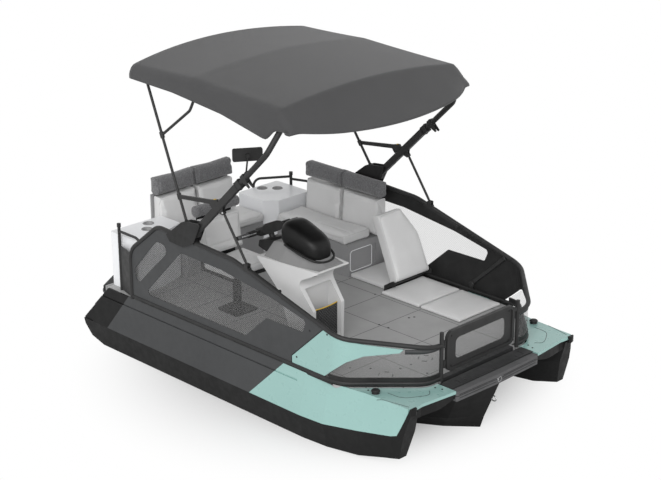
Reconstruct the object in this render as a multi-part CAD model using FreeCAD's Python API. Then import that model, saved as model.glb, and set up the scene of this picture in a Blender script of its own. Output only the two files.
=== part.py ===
import FreeCAD, Part
import os
from math import asin, atan2, cos, degrees, hypot, radians, sin, sqrt, tan

V = FreeCAD.Vector
os.makedirs("parts", exist_ok=True)

# A compact three-hulled pontoon boat with a jet drive, an upright helm and a folding top.
# +X is the bow, +Y is port, Z = 0 is the floor under the three keels. All sizes are in millimetres.

# Deck and hulls
deck_top = 555.0
deck_thickness = 50.0
fit_gap = 0.5
running_gap = 0.3
hull_length = 3944.0
stern_x = -hull_length / 2
bow_x = hull_length / 2
deck_stern_x = stern_x + 267
rail_y = 1100.0
rail_bow_x = bow_x - 215
rail_corner_sum = rail_bow_x + 613
rail_aft_radius = 250.0
rail_bow_radius = 200.0
deck_inset = 17.0
center_half_width = 430.0
center_stern_x = stern_x + 182
center_keel_stern_x = stern_x + 272
bow_step_x = bow_x - 196
bow_step_z = 452.0
bow_step_half = 500.0
bow_step_nose = 72.0
bumper_nose = 14.0
engine_length = 520.0
engine_width = 420.0
engine_height = 300.0
engine_x = stern_x + 812 + engine_length / 2
engine_floor_z = 120.0
engine_clearance = 8.0

# Sponsons, given for the port side
skin_thickness = 12.0
chine_y = 1173.0
chine_z = 205.0
shoulder_y = 1103.0
sponson_inner_y = 700.0
sponson_keel_y = 990.0
groove_z = 470.0
groove_depth = 8.0
groove_height = 12.0
skin_stern_low_x = stern_x + 382
skin_stern_high_x = stern_x + 622
skin_bow_low_x = bow_x - 1672
skin_bow_high_x = bow_x - 1327
sponson_stations = [bow_x - behind for behind in (1072, 822, 492, 192, 67)]
cap_thickness = 25.0
cap_top = 545.0
cap_tip_x = bow_x - 47
cap_tip_y = 935.0
nose_low_x = bow_x - 272
nose_chine_x = bow_x - 147
nose_top_x = bow_x - 54
nose_gap = 2.0

# Rails, side panels and gate
rail_radius = 19.0
low_rail_radius = 14.0
low_rail_z = 583.0
rail_aft_x = stern_x + 680
rail_shoulder_z = 1010.0
rail_crown_x = rail_aft_x + 392
rail_crown_z = 1325.0
rail_break_x = 60.0
rail_break_z = 1283.0
rail_front_z = 958.0
panel_thickness = 6.0
window_thickness = 4.0
window_corner = 30.0
panel_low = low_rail_z + low_rail_radius
window_sill_z = 631.0
gate_post_y = 463.0
gate_post_radius = 17.0
gate_post_top = 965.0
gate_half_width = 411.0
gate_top = 950.0
gate_bottom = 612.0
gate_bar = 28.0
gate_hinge_y = -430.0
gate_hinge_levels = (700.0, 870.0)
hinge_radius = 10.0
stern_post_x = stern_x + 452
stern_post_y = 1040.0
stern_post_top = 1150.0
stern_tube_radius = 12.0

# Jet drive under the stern
jet_bay_half = 190.0
jet_bay_top = 330.0
jet_front_x = stern_x + 672
jet_axis_z = 190.0
pump_front_x = jet_front_x - 30
pump_tail_x = pump_front_x - 330
pump_radius = 110.0
pump_bore = 78.0
outlet_radius = 46.0
outlet_end_x = pump_tail_x - 62
impeller_front_x = pump_front_x - 67
impeller_back_x = pump_tail_x + 79
impeller_hub = 26.0
impeller_tip = 76.0
impeller_blades = 4
nozzle_front_x = pump_tail_x - 46
nozzle_length = 150.0
nozzle_front_radius = 68.0
nozzle_tail_radius = 48.0
nozzle_wall = 8.0
nozzle_pivot_x = nozzle_front_x - 9
nozzle_pin_radius = 6.0
lug_offset = 92.0
bucket_pivot_x = nozzle_pivot_x - 35
bucket_radius = 200.0
bucket_wall = 10.0
bucket_arm_y = 104.0
bucket_pin_radius = 8.0

# Helm and its seat
helm_y = -600.0
console_half_top = 250.0
console_half_low = 175.0
console_lip_z = 1250.0
steering_x = -40.0
steering_z = 1400.0
steering_tilt = 25.0
bar_radius = 14.0
grip_radius = 18.0
stem_radius = 24.0
stem_length = 99.7
socket_depth = 100.0
seat_x = -455.0
seat_y = -612.0
seat_pan_z = 915.0
seat_pan_thickness = 25.0
seat_front_x = -235.0
seat_cushion_top = 1030.0
seat_back_top = 1384.0
seat_back_x = -672.0
seat_lean = 0.126

# Benches, tables and lounge
bench_seat_z = 862.0
bench_cushion_top = 955.0
band_low_z = 1226.0
band_top_z = 1385.0
bench_front_x = -295.0
bench_stern_x = stern_x + 742
bench_inner_y = 585.0
bench_outer_y = 1075.0
stern_bench_starboard = -425.0
stern_bench_port = 500.0
stern_seat_x = stern_x + 637
stern_wall_x = stern_x + 127
table_top = 1060.0
table_outer_y = 1012.0
holder_radius = 42.0
holder_depth = 75.0
pad_top = 590.0
backrest_hinge_x = 262.0
backrest_hinge_z = 648.0
backrest_pin = 6.0
backrest_inner_y = 600.0
backrest_outer_y = 1050.0

# Folding top
arm_y = 1095.0
top_pivot_x = -400.0
top_pivot_z = 1402.0
arm_bend_x = 480.0
arm_bend_z = 2260.0
arm_knee_drop = 208.0
arm_half_depth = 30.0
arm_width = 40.0
bow_radius = 24.0
strut_radius = 12.0
pivot_pin = 10.0
pivot_hub = 50.0
brace_x = -45.0
brace_z = 1658.0
brace_foot_x = 227.0
brace_lift = 38.0
brace_radius = 11.0
brace_pin = 5.0
canopy_half = 1045.0
cloth_thickness = 12.0
cloth_stern_x = -1400.0
cloth_stern_z = 2724.0
cloth_mid_z = 2740.0
cloth_crease_z = 2688.0
crease_x = 550.0
front_bow_x = crease_x - 12
mid_bow_x = -500.0
rear_bow_x = -1195.0
crown_radius = 8000.0
bow_arc_half = 850.0
bow_corner_y = 955.0
bow_gap = 1.8
strut_joint_z = 2117.0


def box(x0, x1, y0, y1, z0, z1):
    return Part.makeBox(x1 - x0, y1 - y0, z1 - z0, V(x0, y0, z0))


def rod(start, end, radius):
    start, end = V(*start), V(*end)
    return Part.makeCylinder(radius, (end - start).Length, start, end - start)


def corner_cuts(before, corner, after, radius):
    u = (before - corner).normalize()
    v = (after - corner).normalize()
    half = u.getAngle(v) / 2
    reach = radius / tan(half)
    middle = corner + (u + v).normalize() * (radius / sin(half) - radius)
    return corner + u * reach, middle, corner + v * reach


def closed_wire(points, radii):
    # Closed outline whose corners are rounded by arcs.
    if not isinstance(radii, (list, tuple)):
        radii = [radii] * len(points)
    cuts = []
    for i, corner in enumerate(points):
        if radii[i] > 0:
            cuts.append(corner_cuts(points[i - 1], corner, points[(i + 1) % len(points)], radii[i]))
        else:
            cuts.append((corner, None, corner))
    edges = []
    for i, (start, middle, end) in enumerate(cuts):
        last = cuts[i - 1][2]
        if (start - last).Length > 0.01:
            edges.append(Part.LineSegment(last, start).toShape())
        if middle:
            edges.append(Part.Arc(start, middle, end).toShape())
    return Part.Wire(edges)


def place(pair, axis, level):
    a, b = pair
    return {"x": V(level, a, b), "y": V(a, level, b), "z": V(a, b, level)}[axis]


def slab(outline, axis, low, high, radii=0):
    # Outline in the plane across an axis, given as pairs, drawn out between two levels.
    wire = closed_wire([place(pair, axis, low) for pair in outline], radii)
    return Part.Face(wire).extrude(place((0, 0), axis, high - low))


def rectangle(a0, a1, b0, b1):
    return [(a0, b0), (a1, b0), (a1, b1), (a0, b1)]


def bent_tube(points, radii, radius):
    # Straight runs of tube joined by round bends.
    points = [V(*p) for p in points]
    pieces = []
    last = points[0]
    for before, corner, after, bend in zip(points, points[1:], points[2:], radii):
        start, middle, end = corner_cuts(before, corner, after, bend)
        ring = Part.Face(Part.Wire(Part.makeCircle(radius, start, corner - before)))
        if (start - last).Length > 0.01:
            pieces.append(ring.extrude(last - start))
        centre = corner + (middle - corner) * (1 + bend / (middle - corner).Length)
        spoke, exit_spoke = start - centre, end - centre
        pieces.append(ring.revolve(centre, spoke.cross(exit_spoke), degrees(spoke.getAngle(exit_spoke))))
        last = end
    pieces.append(rod(last, points[-1], radius))
    return pieces[0].fuse(pieces[1:])


def loft(sections):
    wires = [Part.makePolygon([V(*p) for p in section + section[:1]]) for section in sections]
    return Part.makeLoft(wires, True, True)


def mirrored(shape):
    return shape.mirror(V(0, 0, 0), V(0, 1, 0))


def both_sides(shape):
    return Part.makeCompound([shape, mirrored(shape)])


def save(name, shape):
    shape.exportStep("parts/" + name + ".step")


def plan_corners(offset):
    # Deck edge in plan: straight sides, 45 degree shoulders and a straight bow.
    side = rail_y + offset
    front = rail_bow_x + offset
    total = rail_corner_sum + offset * sqrt(2)
    return [(total - side, side), (front, total - front)]


def plan_slab(offset, stern, low, high):
    (xa, ya), (xb, yb) = plan_corners(offset)
    half = [(stern, ya), (xa, ya), (xb, yb)]
    outline = [(x, -y) for x, y in half] + half[::-1]
    ra, rb = rail_aft_radius + offset, rail_bow_radius + offset
    return slab(outline, "z", low, high, [0, ra, rb, rb, ra, 0])


def plan_strip(thickness, stern, low, high):
    outer = plan_slab(thickness / 2, stern, low, high)
    return outer.cut(plan_slab(-thickness / 2, stern - 1, low, high))


# Centre hull

def center_hull():
    # Each level: height, stern, half width, then how far behind the bow the two corners and the stem are.
    levels = [
        (0, center_keel_stern_x, 360, (672, 360), (412, 200), 187),
        (110, center_stern_x + 30, 420, (592, 420), (332, 235), 150),
        (300, center_stern_x, center_half_width, (512, 460), (232, 260), 68),
        (bow_step_z, center_stern_x, center_half_width, (432, 490), (162, 300), 4),
        (deck_top - deck_thickness, center_stern_x, center_half_width, (412, 495), (157, 305), 2)]
    sections = []
    for z, stern, half, (behind_1, y1), (behind_2, y2), behind in levels:
        x1, x2, stem = bow_x - behind_1, bow_x - behind_2, bow_x - behind
        sections.append([(stern, -half, z), (x1, -y1, z), (x2, -y2, z), (stem, 0, z),
                         (x2, y2, z), (x1, y1, z), (stern, half, z)])
    hull = loft(sections)
    hull = hull.cut(box(bow_step_x, bow_x + 50, -600, 600, bow_step_z, deck_top))
    tunnel = box(center_stern_x - 10, jet_front_x, -jet_bay_half, jet_bay_half, -10, jet_bay_top)
    well = engine_box(engine_clearance)
    return hull.cut(tunnel).cut(well)


def engine_box(clearance):
    return box(engine_x - engine_length / 2 - clearance, engine_x + engine_length / 2 + clearance,
               -engine_width / 2 - clearance, engine_width / 2 + clearance,
               engine_floor_z, engine_floor_z + engine_height + clearance)


# Sponsons

def side_points(x):
    # Ridge, chine, chine height and lower wall of the port sponson at one station.
    a, b, c, d, e = sponson_stations
    stations = [
        (stern_x + 12, shoulder_y, chine_y, chine_z, chine_y - 27),
        (a, shoulder_y, chine_y, chine_z, chine_y - 33),
        (b, shoulder_y - 20, chine_y - 7, chine_z + 10, chine_y - 55),
        (c, shoulder_y - 77, chine_y - 51, chine_z + 53, chine_y - 111),
        (d, shoulder_y - 100, chine_y - 113, chine_z + 91, chine_y - 165),
        (e, shoulder_y - 105, chine_y - 158, chine_z + 125, chine_y - 188)]
    for near, far in zip(stations[:-1], stations[1:]):
        if near[0] <= x <= far[0]:
            t = (x - near[0]) / (far[0] - near[0])
            return [p + (q - p) * t for p, q in zip(near[1:], far[1:])]


def shoulder_level(x):
    return deck_top if x < sponson_stations[1] - 50 else cap_top


def sponson_section(x, inner, inset):
    ridge, chine, level, low = side_points(x)
    top = deck_top - deck_thickness
    lean = (chine - ridge) / (shoulder_level(x) - level)
    high = ridge + lean * (shoulder_level(x) - top)
    return [(x, inner, top), (x, high - inset, top), (x, chine - inset, level + fit_gap),
            (x, chine, level + fit_gap), (x, low, 0), (x, sponson_keel_y, 0),
            (x, inner + 70, 60), (x, inner, level)]


def sponson_body(inset):
    # Stations along the sponson and its inner side, then a blunt tip.
    inner = [sponson_inner_y + step for step in (0, 20, 80, 160, 200)]
    stations = list(zip(sponson_stations, inner))
    core = loft([sponson_section(x, y, inset) for x, y in [(stern_x + 12, sponson_inner_y)] + stations])
    last = sponson_section(*stations[-1], inset)
    tip = loft([last, [(x + 35, inner[-1] + 5 + (y - inner[-1]) * 0.62, z) for x, y, z in last]])
    return core.fuse(tip)


def sponson():
    # Core behind the skin, with a nose flush with the skin ahead of a raked seam.
    top = deck_top - deck_thickness
    profile = [(stern_x + 282, 0), (bow_x - 822, 0), (bow_x - 522, 18), (bow_x - 282, 75), (bow_x - 138, 104),
               (bow_x - 46, top), (stern_x + 284, top), (stern_x + 37, 215), (stern_x + 47, 150),
               (stern_x + 122, 50)]
    nose = sponson_body(nose_gap).common(nose_region(0))
    shape = sponson_body(skin_thickness + fit_gap).fuse(nose).common(slab(profile, "y", 600, 1300))
    ridge = shoulder_y - 105 - nose_gap
    head = nose_head(0).common(box(bow_x - 300, bow_x, 800, ridge, 400, 600))
    return shape.fuse(head).removeSplitter()


def nose_region(gap):
    # Everything ahead of the raked seam between the nose and the skin.
    seam = [(nose_low_x - gap, -10), (nose_low_x + 5 - gap, 90), (nose_chine_x - gap, 300),
            (nose_top_x - gap, cap_top), (nose_top_x + 20 - gap, 600), (bow_x + 50, 600), (bow_x + 50, -10)]
    return slab(seam, "y", 600, 1300)


def nose_head(gap):
    # Top of the nose, which stands up through the cap at its tip.
    outline = [(nose_top_x - 60, 1010), (nose_top_x - 60, cap_tip_y - gap), (cap_tip_x + 12, cap_tip_y - gap),
               (cap_tip_x + 22, cap_tip_y + 22), (cap_tip_x + 6, 1010)]
    low = deck_top - deck_thickness - 12
    return slab(outline, "z", low, cap_top + 3).common(nose_region(gap))


def bow_fascia():
    # Dark apron under the front edge of the cap, from the bow step to the nose.
    inner, outer = bow_step_half + fit_gap, sponson_inner_y + 200
    front = [(bow_x - 34, inner), (bow_x - 46, 700), (bow_x - 72, 850), (bow_x - 66, outer)]
    back = [(x - 28, y) for x, y in front[::-1]]
    face = slab([(inner, cap_top - cap_thickness), (inner, 478), (650, 440), (870, 430), (outer, 440),
                 (outer, cap_top - cap_thickness)], "x", bow_x - 150, bow_x)
    return slab(front + back, "z", 400, 600).common(face).cut(sponson_body(nose_gap))


def side_wall():
    # Thin sloping wall from the chine up to the shoulder, from stern to bow.
    sections = []
    for x in [stern_x + 172] + sponson_stations:
        ridge, chine, level, low = side_points(x)
        high = shoulder_level(x)
        sections.append([(x, ridge, high), (x, ridge - skin_thickness, high),
                         (x, chine - skin_thickness, level + 1), (x, chine, level + 1)])
    return loft(sections)


def side_groove():
    lean = (chine_y - shoulder_y) / (deck_top - chine_z)
    y = shoulder_y + lean * (deck_top - groove_z)
    return box(stern_x + 172, bow_x - 1152, y - groove_depth, y + 20, groove_z - groove_height / 2,
               groove_z + groove_height / 2)


def raked_region(low_x, high_x, forward):
    # Everything ahead of, or behind, a plane that rakes from chine to shoulder.
    slope = (high_x - low_x) / (deck_top - chine_z)
    bottom = low_x - slope * (chine_z - 150)
    top = high_x + slope * (600 - deck_top)
    far = bow_x + 228 if forward else stern_x - 228
    return slab([(bottom, 150), (top, 600), (far, 600), (far, 150)], "y", 500, 1300)


def side_skin():
    wall = side_wall().cut(side_groove())
    wall = wall.common(raked_region(skin_stern_low_x, skin_stern_high_x, True))
    return wall.cut(raked_region(skin_bow_low_x - fit_gap, skin_bow_high_x - fit_gap, True))


def stern_cap():
    wall = side_wall().cut(side_groove())
    wall = wall.cut(raked_region(skin_stern_low_x - fit_gap, skin_stern_high_x - fit_gap, True))
    profile = [(stern_x + 332, deck_top), (stern_x + 672, deck_top), (stern_x + 672, 150),
               (stern_x + 47, 150),
               (stern_x + 37, 215)]
    return wall.common(slab(profile, "y", 500, 1300))


def wall_space():
    # Everything outboard of the inner face of the wall at the bow.
    sections = []
    for x in sponson_stations + [bow_x - 12]:
        ridge, chine, level, low = side_points(min(x, sponson_stations[-1]))
        lean = (chine - ridge) / (cap_top - level)
        inner = [ridge - skin_thickness + lean * (cap_top - z) for z in (400, 700)]
        sections.append([(x, inner[0], 400), (x, 1400, 400), (x, 1400, 700), (x, inner[1], 700)])
    return loft(sections)


def bow_cap():
    wall = side_wall().cut(side_groove())
    wall = wall.common(raked_region(skin_bow_low_x, skin_bow_high_x, True))
    wall = wall.cut(nose_region(fit_gap))
    inner = bow_step_half + 5
    outline = [(bow_x - 872, 1060), (bow_x - 492, 1016), (bow_x - 67, 988), (cap_tip_x, 988),
               (cap_tip_x, cap_tip_y),
               (cap_tip_x - 8, 850), (bow_x - 26, 560), (bow_x - 20, inner), (bow_x - 272, inner),
               (bow_x - 872, 900)]
    top = slab(outline, "z", cap_top - cap_thickness, cap_top, [0, 0, 0, 0, 0, 60, 0, 0, 0, 0])
    top = top.cut(nose_head(fit_gap))
    top = top.cut(plan_slab(fit_gap, 0, 0, 1000)).cut(wall_space())
    return top.fuse(wall.cut(plan_slab(fit_gap - deck_inset, 0, 0, 1000)))


# Jet drive

def jet_pump():
    back_wall = 12
    body = rod((pump_front_x, 0, jet_axis_z), (pump_tail_x, 0, jet_axis_z), pump_radius)
    body = body.cut(rod((pump_front_x - 60, 0, jet_axis_z), (pump_tail_x + back_wall, 0, jet_axis_z),
                        pump_bore))
    outlet = rod((pump_tail_x + 1, 0, jet_axis_z), (outlet_end_x, 0, jet_axis_z), outlet_radius)
    bore = rod((pump_tail_x + 20, 0, jet_axis_z), (outlet_end_x - 1, 0, jet_axis_z), outlet_radius - 6)
    intake = slab([(pump_front_x - 20, 60), (pump_front_x - 20, jet_axis_z + 60),
                   (jet_front_x, jet_axis_z + 60),
                   (jet_front_x, 60)], "y", 40 - jet_bay_half, jet_bay_half - 40)
    flange = box(pump_front_x - 10, pump_front_x + 10, -jet_bay_half, jet_bay_half, 70, jet_bay_top)
    shape = body.fuse([outlet, intake, flange] + [pump_ear(s) for s in (-1, 1)]
                      + [nozzle_lug(s) for s in (-1, 1)])
    shape = shape.cut(bore)
    hole = rod((nozzle_pivot_x, 0, 0), (nozzle_pivot_x, 0, 400), nozzle_pin_radius + 0.3)
    vanes = [stator_vane(i * 60 + 30) for i in range(6)]
    hub = rod((pump_tail_x + back_wall, 0, jet_axis_z), (impeller_back_x - running_gap, 0, jet_axis_z),
              impeller_hub)
    return shape.cut(hole).fuse(vanes + [hub])


def nozzle_lug(side):
    z = jet_axis_z + side * lug_offset
    return box(nozzle_pivot_x - 16, pump_tail_x + 20, -14, 14, z - 7, z + 7)


def pump_ear(side):
    # Cheek beside the nozzle with the pin that carries the reverse bucket.
    inner = bucket_arm_y + 9
    low, high = sorted((side * inner, side * (inner + 8)))
    cheek = slab([(pump_tail_x + 20, jet_axis_z - 20), (pump_tail_x + 20, jet_axis_z + 20),
                  (bucket_pivot_x - 16, jet_axis_z + 14), (bucket_pivot_x - 16, jet_axis_z - 14)], "y", low,
                  high)
    low, high = sorted((side * 100, side * (inner + 8)))
    root = box(pump_tail_x, pump_tail_x + 20, low, high, jet_axis_z - 20, jet_axis_z + 20)
    pin = rod((bucket_pivot_x, side * (bucket_arm_y - 2), jet_axis_z),
              (bucket_pivot_x, side * (inner + 4), jet_axis_z), bucket_pin_radius)
    return cheek.fuse([root, pin])


def stator_vane(angle):
    vane = box(pump_tail_x + 12, pump_tail_x + 70, -3, 3, impeller_hub - 4, pump_bore + 4)
    vane.rotate(V(0, 0, 0), V(1, 0, 0), angle)
    vane.translate(V(0, 0, jet_axis_z))
    return vane


def impeller():
    front, back = impeller_front_x, impeller_back_x
    hub = rod((front, 0, 0), (back, 0, 0), impeller_hub)
    blades = []
    for i in range(impeller_blades):
        sections = []
        for step in range(4):
            x = front - 25 - step * (front - back - 50) / 3
            turn = radians(i * 360 / impeller_blades + step * 32)
            c, s = cos(turn), sin(turn)
            across = ((impeller_hub - 6, -3), (impeller_tip, -3), (impeller_tip, 3), (impeller_hub - 6, 3))
            sections.append([(x, r * c - w * s, r * s + w * c) for r, w in across])
        blades.append(loft(sections))
    shape = hub.fuse(blades)
    shape = shape.common(rod((front, 0, 0), (back, 0, 0), impeller_tip))
    shape.translate(V(0, 0, jet_axis_z))
    return shape


def steering_nozzle():
    start = V(nozzle_front_x, 0, jet_axis_z)
    aft = V(-1, 0, 0)
    outer = Part.makeCone(nozzle_front_radius, nozzle_tail_radius, nozzle_length, start, aft)
    inner = Part.makeCone(nozzle_front_radius - nozzle_wall, nozzle_tail_radius - nozzle_wall,
                          nozzle_length + 2, start - aft, aft)
    pins = [rod((nozzle_pivot_x, 0, jet_axis_z + s * 62),
                (nozzle_pivot_x, 0, jet_axis_z + s * (lug_offset + 7)),
                nozzle_pin_radius) for s in (-1, 1)]
    collars = [rod((nozzle_pivot_x, 0, jet_axis_z + s * 60),
                   (nozzle_pivot_x, 0, jet_axis_z + s * (lug_offset - 8)),
                   14) for s in (-1, 1)]
    return outer.fuse(pins + collars).cut(inner)


def reverse_bucket():
    # Cupped deflector carried on two arms, raised clear of the jet.
    def on_ring(radius, angle):
        return (bucket_pivot_x - radius * cos(radians(angle)), jet_axis_z + radius * sin(radians(angle)))

    low_angle, high_angle = 22, 68
    outer, inner = bucket_radius + bucket_wall / 2, bucket_radius - bucket_wall / 2
    edge_y = bucket_arm_y + 8
    ring = rod((bucket_pivot_x, -edge_y, jet_axis_z), (bucket_pivot_x, edge_y, jet_axis_z), outer)
    ring = ring.cut(rod((bucket_pivot_x, -edge_y, jet_axis_z), (bucket_pivot_x, edge_y, jet_axis_z), inner))
    sector = slab([on_ring(0, 0), on_ring(300, low_angle), on_ring(300, high_angle)], "y", -edge_y, edge_y)
    shape = ring.common(sector)
    for s in (-1, 1):
        low, high = sorted((s * bucket_arm_y, s * edge_y))
        arm = slab([on_ring(20, -60), on_ring(inner + 2, low_angle), on_ring(inner + 2, high_angle),
                    on_ring(20, 120)], "y", low, high)
        boss = rod((bucket_pivot_x, low, jet_axis_z), (bucket_pivot_x, high, jet_axis_z), 22)
        shape = shape.fuse([arm, boss])
    return shape.cut(rod((bucket_pivot_x, -200, jet_axis_z), (bucket_pivot_x, 200, jet_axis_z),
                         bucket_pin_radius + 0.3))


# Deck and ends

def deck():
    return plan_slab(-deck_inset, deck_stern_x, deck_top - deck_thickness, deck_top)


def swim_platform():
    front = deck_stern_x - fit_gap
    outline = [(front, -1098), (front, 1098), (front - 15, 1098), (stern_x, 700), (stern_x, -700),
               (front - 15, -1098)]
    return slab(outline, "z", deck_top - deck_thickness, deck_top, [0, 0, 14, 60, 60, 14])


def bow_step():
    nose = bow_x - bow_step_nose
    return slab([(bow_step_x, -bow_step_half), (nose, -bow_step_half), (nose + 5, 0), (nose, bow_step_half),
                 (bow_step_x, bow_step_half)], "z", bow_step_z, deck_top - 8)


def bow_bumper():
    # Two stacked rub rails in a shallow chevron across the bow.
    wide, narrow = bow_step_half, bow_step_half - 12
    back, front = bow_x - bow_step_nose + 1, bow_x - bumper_nose
    bars = []
    for low, high in ((2, 42), (48, 84)):
        bars.append(slab([(back, -wide), (back + 5, 0), (back, wide), (front, wide), (bow_x, 0),
                          (front, -wide)],
                         "z", bow_step_z + low, bow_step_z + high, [0, 0, 0, 14, 30, 14]))
    web = slab([(back, -narrow), (back + 5, 0), (back, narrow), (front - 12, narrow), (front, 0),
                (front - 12, -narrow)], "z", bow_step_z + 2, bow_step_z + 84)
    return bars[0].fuse([bars[1], web])


def stern_bumper():
    # Soft roll under the slanting corner of the platform.
    level = deck_top - deck_thickness - 48
    roll = rod((stern_x + 172, 1000, level), (stern_x + 27, 785, level), 40)
    hanger = box(stern_x + 87, stern_x + 127, 860, 900, level + 10, deck_top - deck_thickness)
    return roll.fuse(hanger)


# Rails and side panels

def rail_level(x):
    # Height of the top rail's axis on its long falling run.
    shoulder_x = plan_corners(0)[0][0]
    return rail_break_z + (x - rail_break_x) * (rail_front_z - rail_break_z) / (shoulder_x - rail_break_x)


def top_rail(radius):
    shoulder, front = plan_corners(0)
    points = [(rail_aft_x, rail_y, deck_top + 2), (rail_aft_x, rail_y, rail_shoulder_z),
              (rail_crown_x, rail_y, rail_crown_z), (rail_break_x, rail_y, rail_break_z),
              (shoulder[0], shoulder[1], rail_front_z), (front[0], front[1], rail_front_z - 80),
              (rail_bow_x, gate_post_y, rail_front_z - 103)]
    return bent_tube(points, [190, 170, 500, rail_aft_radius, rail_bow_radius], radius)


def rails():
    shoulder, front = plan_corners(0)
    low = bent_tube([(rail_aft_x, rail_y, low_rail_z), (*shoulder, low_rail_z), (*front, low_rail_z),
                     (rail_bow_x, gate_post_y, low_rail_z)], [rail_aft_radius, rail_bow_radius],
                    low_rail_radius)
    post = rod((rail_bow_x, gate_post_y, deck_top), (rail_bow_x, gate_post_y, gate_post_top),
               gate_post_radius)
    feet = [box(x - 45, x + 45, rail_y - 14, rail_y + 3, deck_top, low_rail_z)
            for x in (rail_aft_x + 52, rail_break_x - 60, rail_bow_x - 1107, rail_bow_x - 757)]
    return both_sides(top_rail(rail_radius).fuse([low, post] + feet))


def rail_space():
    low = rod((rail_aft_x - 50, rail_y, low_rail_z), (rail_bow_x - 507, rail_y, low_rail_z),
              low_rail_radius + fit_gap)
    return top_rail(rail_radius + fit_gap).fuse(low)


def brace_foot_z():
    return rail_level(brace_foot_x) + brace_lift


def rail_bracket():
    # Plate along the inside of the falling rail, with a clevis for the brace and a stow knob.
    start, end = brace_foot_x - 62, brace_foot_x + 363
    plate = slab([(start, rail_level(start) + 16), (end, rail_level(end) + 14), (end, rail_level(end) - 16),
                  (start, rail_level(start) - 16)], "y", rail_y - rail_radius - 6, rail_y - rail_radius + 4)
    base_z = brace_foot_z() - 18
    saddle = box(brace_foot_x - 28, brace_foot_x + 28, arm_y - 20, arm_y + 20, base_z - 32, base_z)
    ears = [box(brace_foot_x - 20, brace_foot_x + 20, arm_y + s, arm_y + s + 7, base_z - 4,
                brace_foot_z() + 16)
            for s in (-20, 13)]
    knob = rod((end - 20, rail_y - rail_radius - 26, rail_level(end)),
               (end - 20, rail_y - rail_radius - 4, rail_level(end)), 14)
    return plate.fuse([saddle, knob] + ears).cut(top_rail(rail_radius))


def panel_plane(outline, thickness, radii=0):
    return slab(outline, "y", rail_y - thickness / 2, rail_y + thickness / 2, radii)


side_panel_outline = [
    (rail_aft_x + 8, panel_low - 2), (rail_aft_x + 8, rail_shoulder_z - 4),
    (rail_crown_x + 3, rail_crown_z - 7),
    (rail_break_x - 2, rail_break_z - 7), (rail_bow_x - 659, 988), (rail_bow_x - 1019, 656),
    (rail_bow_x - 1019, panel_low - 2)]
large_window_outline = [
    (rail_crown_x + 295, 1166), (rail_break_x - 150, 1155), (rail_bow_x - 1238, 1080),
    (rail_bow_x - 845, 998),
    (rail_bow_x - 888, 892), (rail_bow_x - 1308, 887), (rail_bow_x - 1566, 657), (rail_aft_x + 230, 657),
    (rail_aft_x + 230, 705)]
small_window_outline = [(rail_aft_x + 367, 1182), (rail_aft_x + 580, 1182), (rail_aft_x + 87, 718),
                        (rail_aft_x + 42, 840)]
small_window_corners = [60, 55, 35, 60]


def side_panel():
    panel = panel_plane(side_panel_outline, panel_thickness)
    panel = panel.cut(panel_plane(large_window_outline, 40, window_corner))
    panel = panel.cut(panel_plane(small_window_outline, 40, small_window_corners))
    return panel.cut(rail_space())


def shrunk(outline, step):
    # Moves each side of an outline in by one step.
    area = sum(a[0] * b[1] - b[0] * a[1] for a, b in zip(outline, outline[1:] + outline[:1]))
    turn = 1 if area > 0 else -1
    moved = []
    for before, corner, after in zip(outline[-1:] + outline[:-1], outline, outline[1:] + outline[:1]):
        u = unit(before, corner)
        v = unit(corner, after)
        inward_u = (-u[1] * turn, u[0] * turn)
        inward_v = (-v[1] * turn, v[0] * turn)
        scale = step / (1 + inward_u[0] * inward_v[0] + inward_u[1] * inward_v[1])
        moved.append((corner[0] + (inward_u[0] + inward_v[0]) * scale,
                      corner[1] + (inward_u[1] + inward_v[1]) * scale))
    return moved


def unit(a, b):
    length = hypot(b[0] - a[0], b[1] - a[1])
    return (b[0] - a[0]) / length, (b[1] - a[1]) / length


def side_window():
    large = panel_plane(shrunk(large_window_outline, fit_gap), window_thickness, window_corner - fit_gap)
    small = panel_plane(shrunk(small_window_outline, fit_gap), window_thickness,
                        [radius - fit_gap for radius in small_window_corners])
    return Part.makeCompound([large, small])


bow_panel_outline = [(rail_bow_x - behind, z) for behind, z in (
    (651, 986), (1010, 654), (1010, panel_low - 2), (647, panel_low - 2), (450, 760), (352, 812), (156, 838),
    (135, 868), (345, 909), (468, 944), (595, 974))]


def bow_side_panel():
    cutter = slab(bow_panel_outline, "y", 0, 1300)
    strip = plan_strip(panel_thickness, rail_bow_x - 1157, 500, 1100)
    return strip.common(cutter).cut(rail_space())


def bow_window():
    low, high = window_sill_z + running_gap, 836
    aft = gate_post_y + 24
    outline = [(595, low), (7, low), (7, high), (125, 850), (153, 832), (352, 805), (443, 752)]
    region = slab([(rail_bow_x - behind, z) for behind, z in outline], "y", aft, 1300)
    front = box(rail_bow_x - 57, rail_bow_x + 43, aft, 700, low, high)
    return plan_strip(window_thickness, rail_bow_x - 1157, 500, 1100).common(region.fuse(front))


def bow_window_frame():
    zone = box(rail_bow_x - 599, rail_bow_x + 43, gate_post_y + 18, 1300, 500, 700)
    return plan_strip(14, rail_bow_x - 1157, panel_low + running_gap, window_sill_z).common(zone)


# Stern rails

def stern_rail():
    post = rod((stern_post_x, stern_post_y, deck_top), (stern_post_x, stern_post_y, stern_post_top), 14)
    knob = rod((stern_post_x, stern_post_y, stern_post_top),
               (stern_post_x, stern_post_y, stern_post_top + 32), 18)
    tube = bent_tube([(stern_post_x, stern_post_y, stern_post_top - 40),
                      (rail_aft_x + 52, rail_y - 20, 1132), (rail_aft_x + 142, rail_y, 1124)], [90],
                     stern_tube_radius)
    plan = [(stern_post_x, stern_post_y - 3), (rail_aft_x, rail_y - 3), (rail_aft_x, rail_y + 3),
            (stern_post_x, stern_post_y + 3)]
    panel = slab(plan, "z", deck_top + 12, 980)
    return post.fuse([tube, knob, panel]).cut(top_rail(rail_radius))


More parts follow.
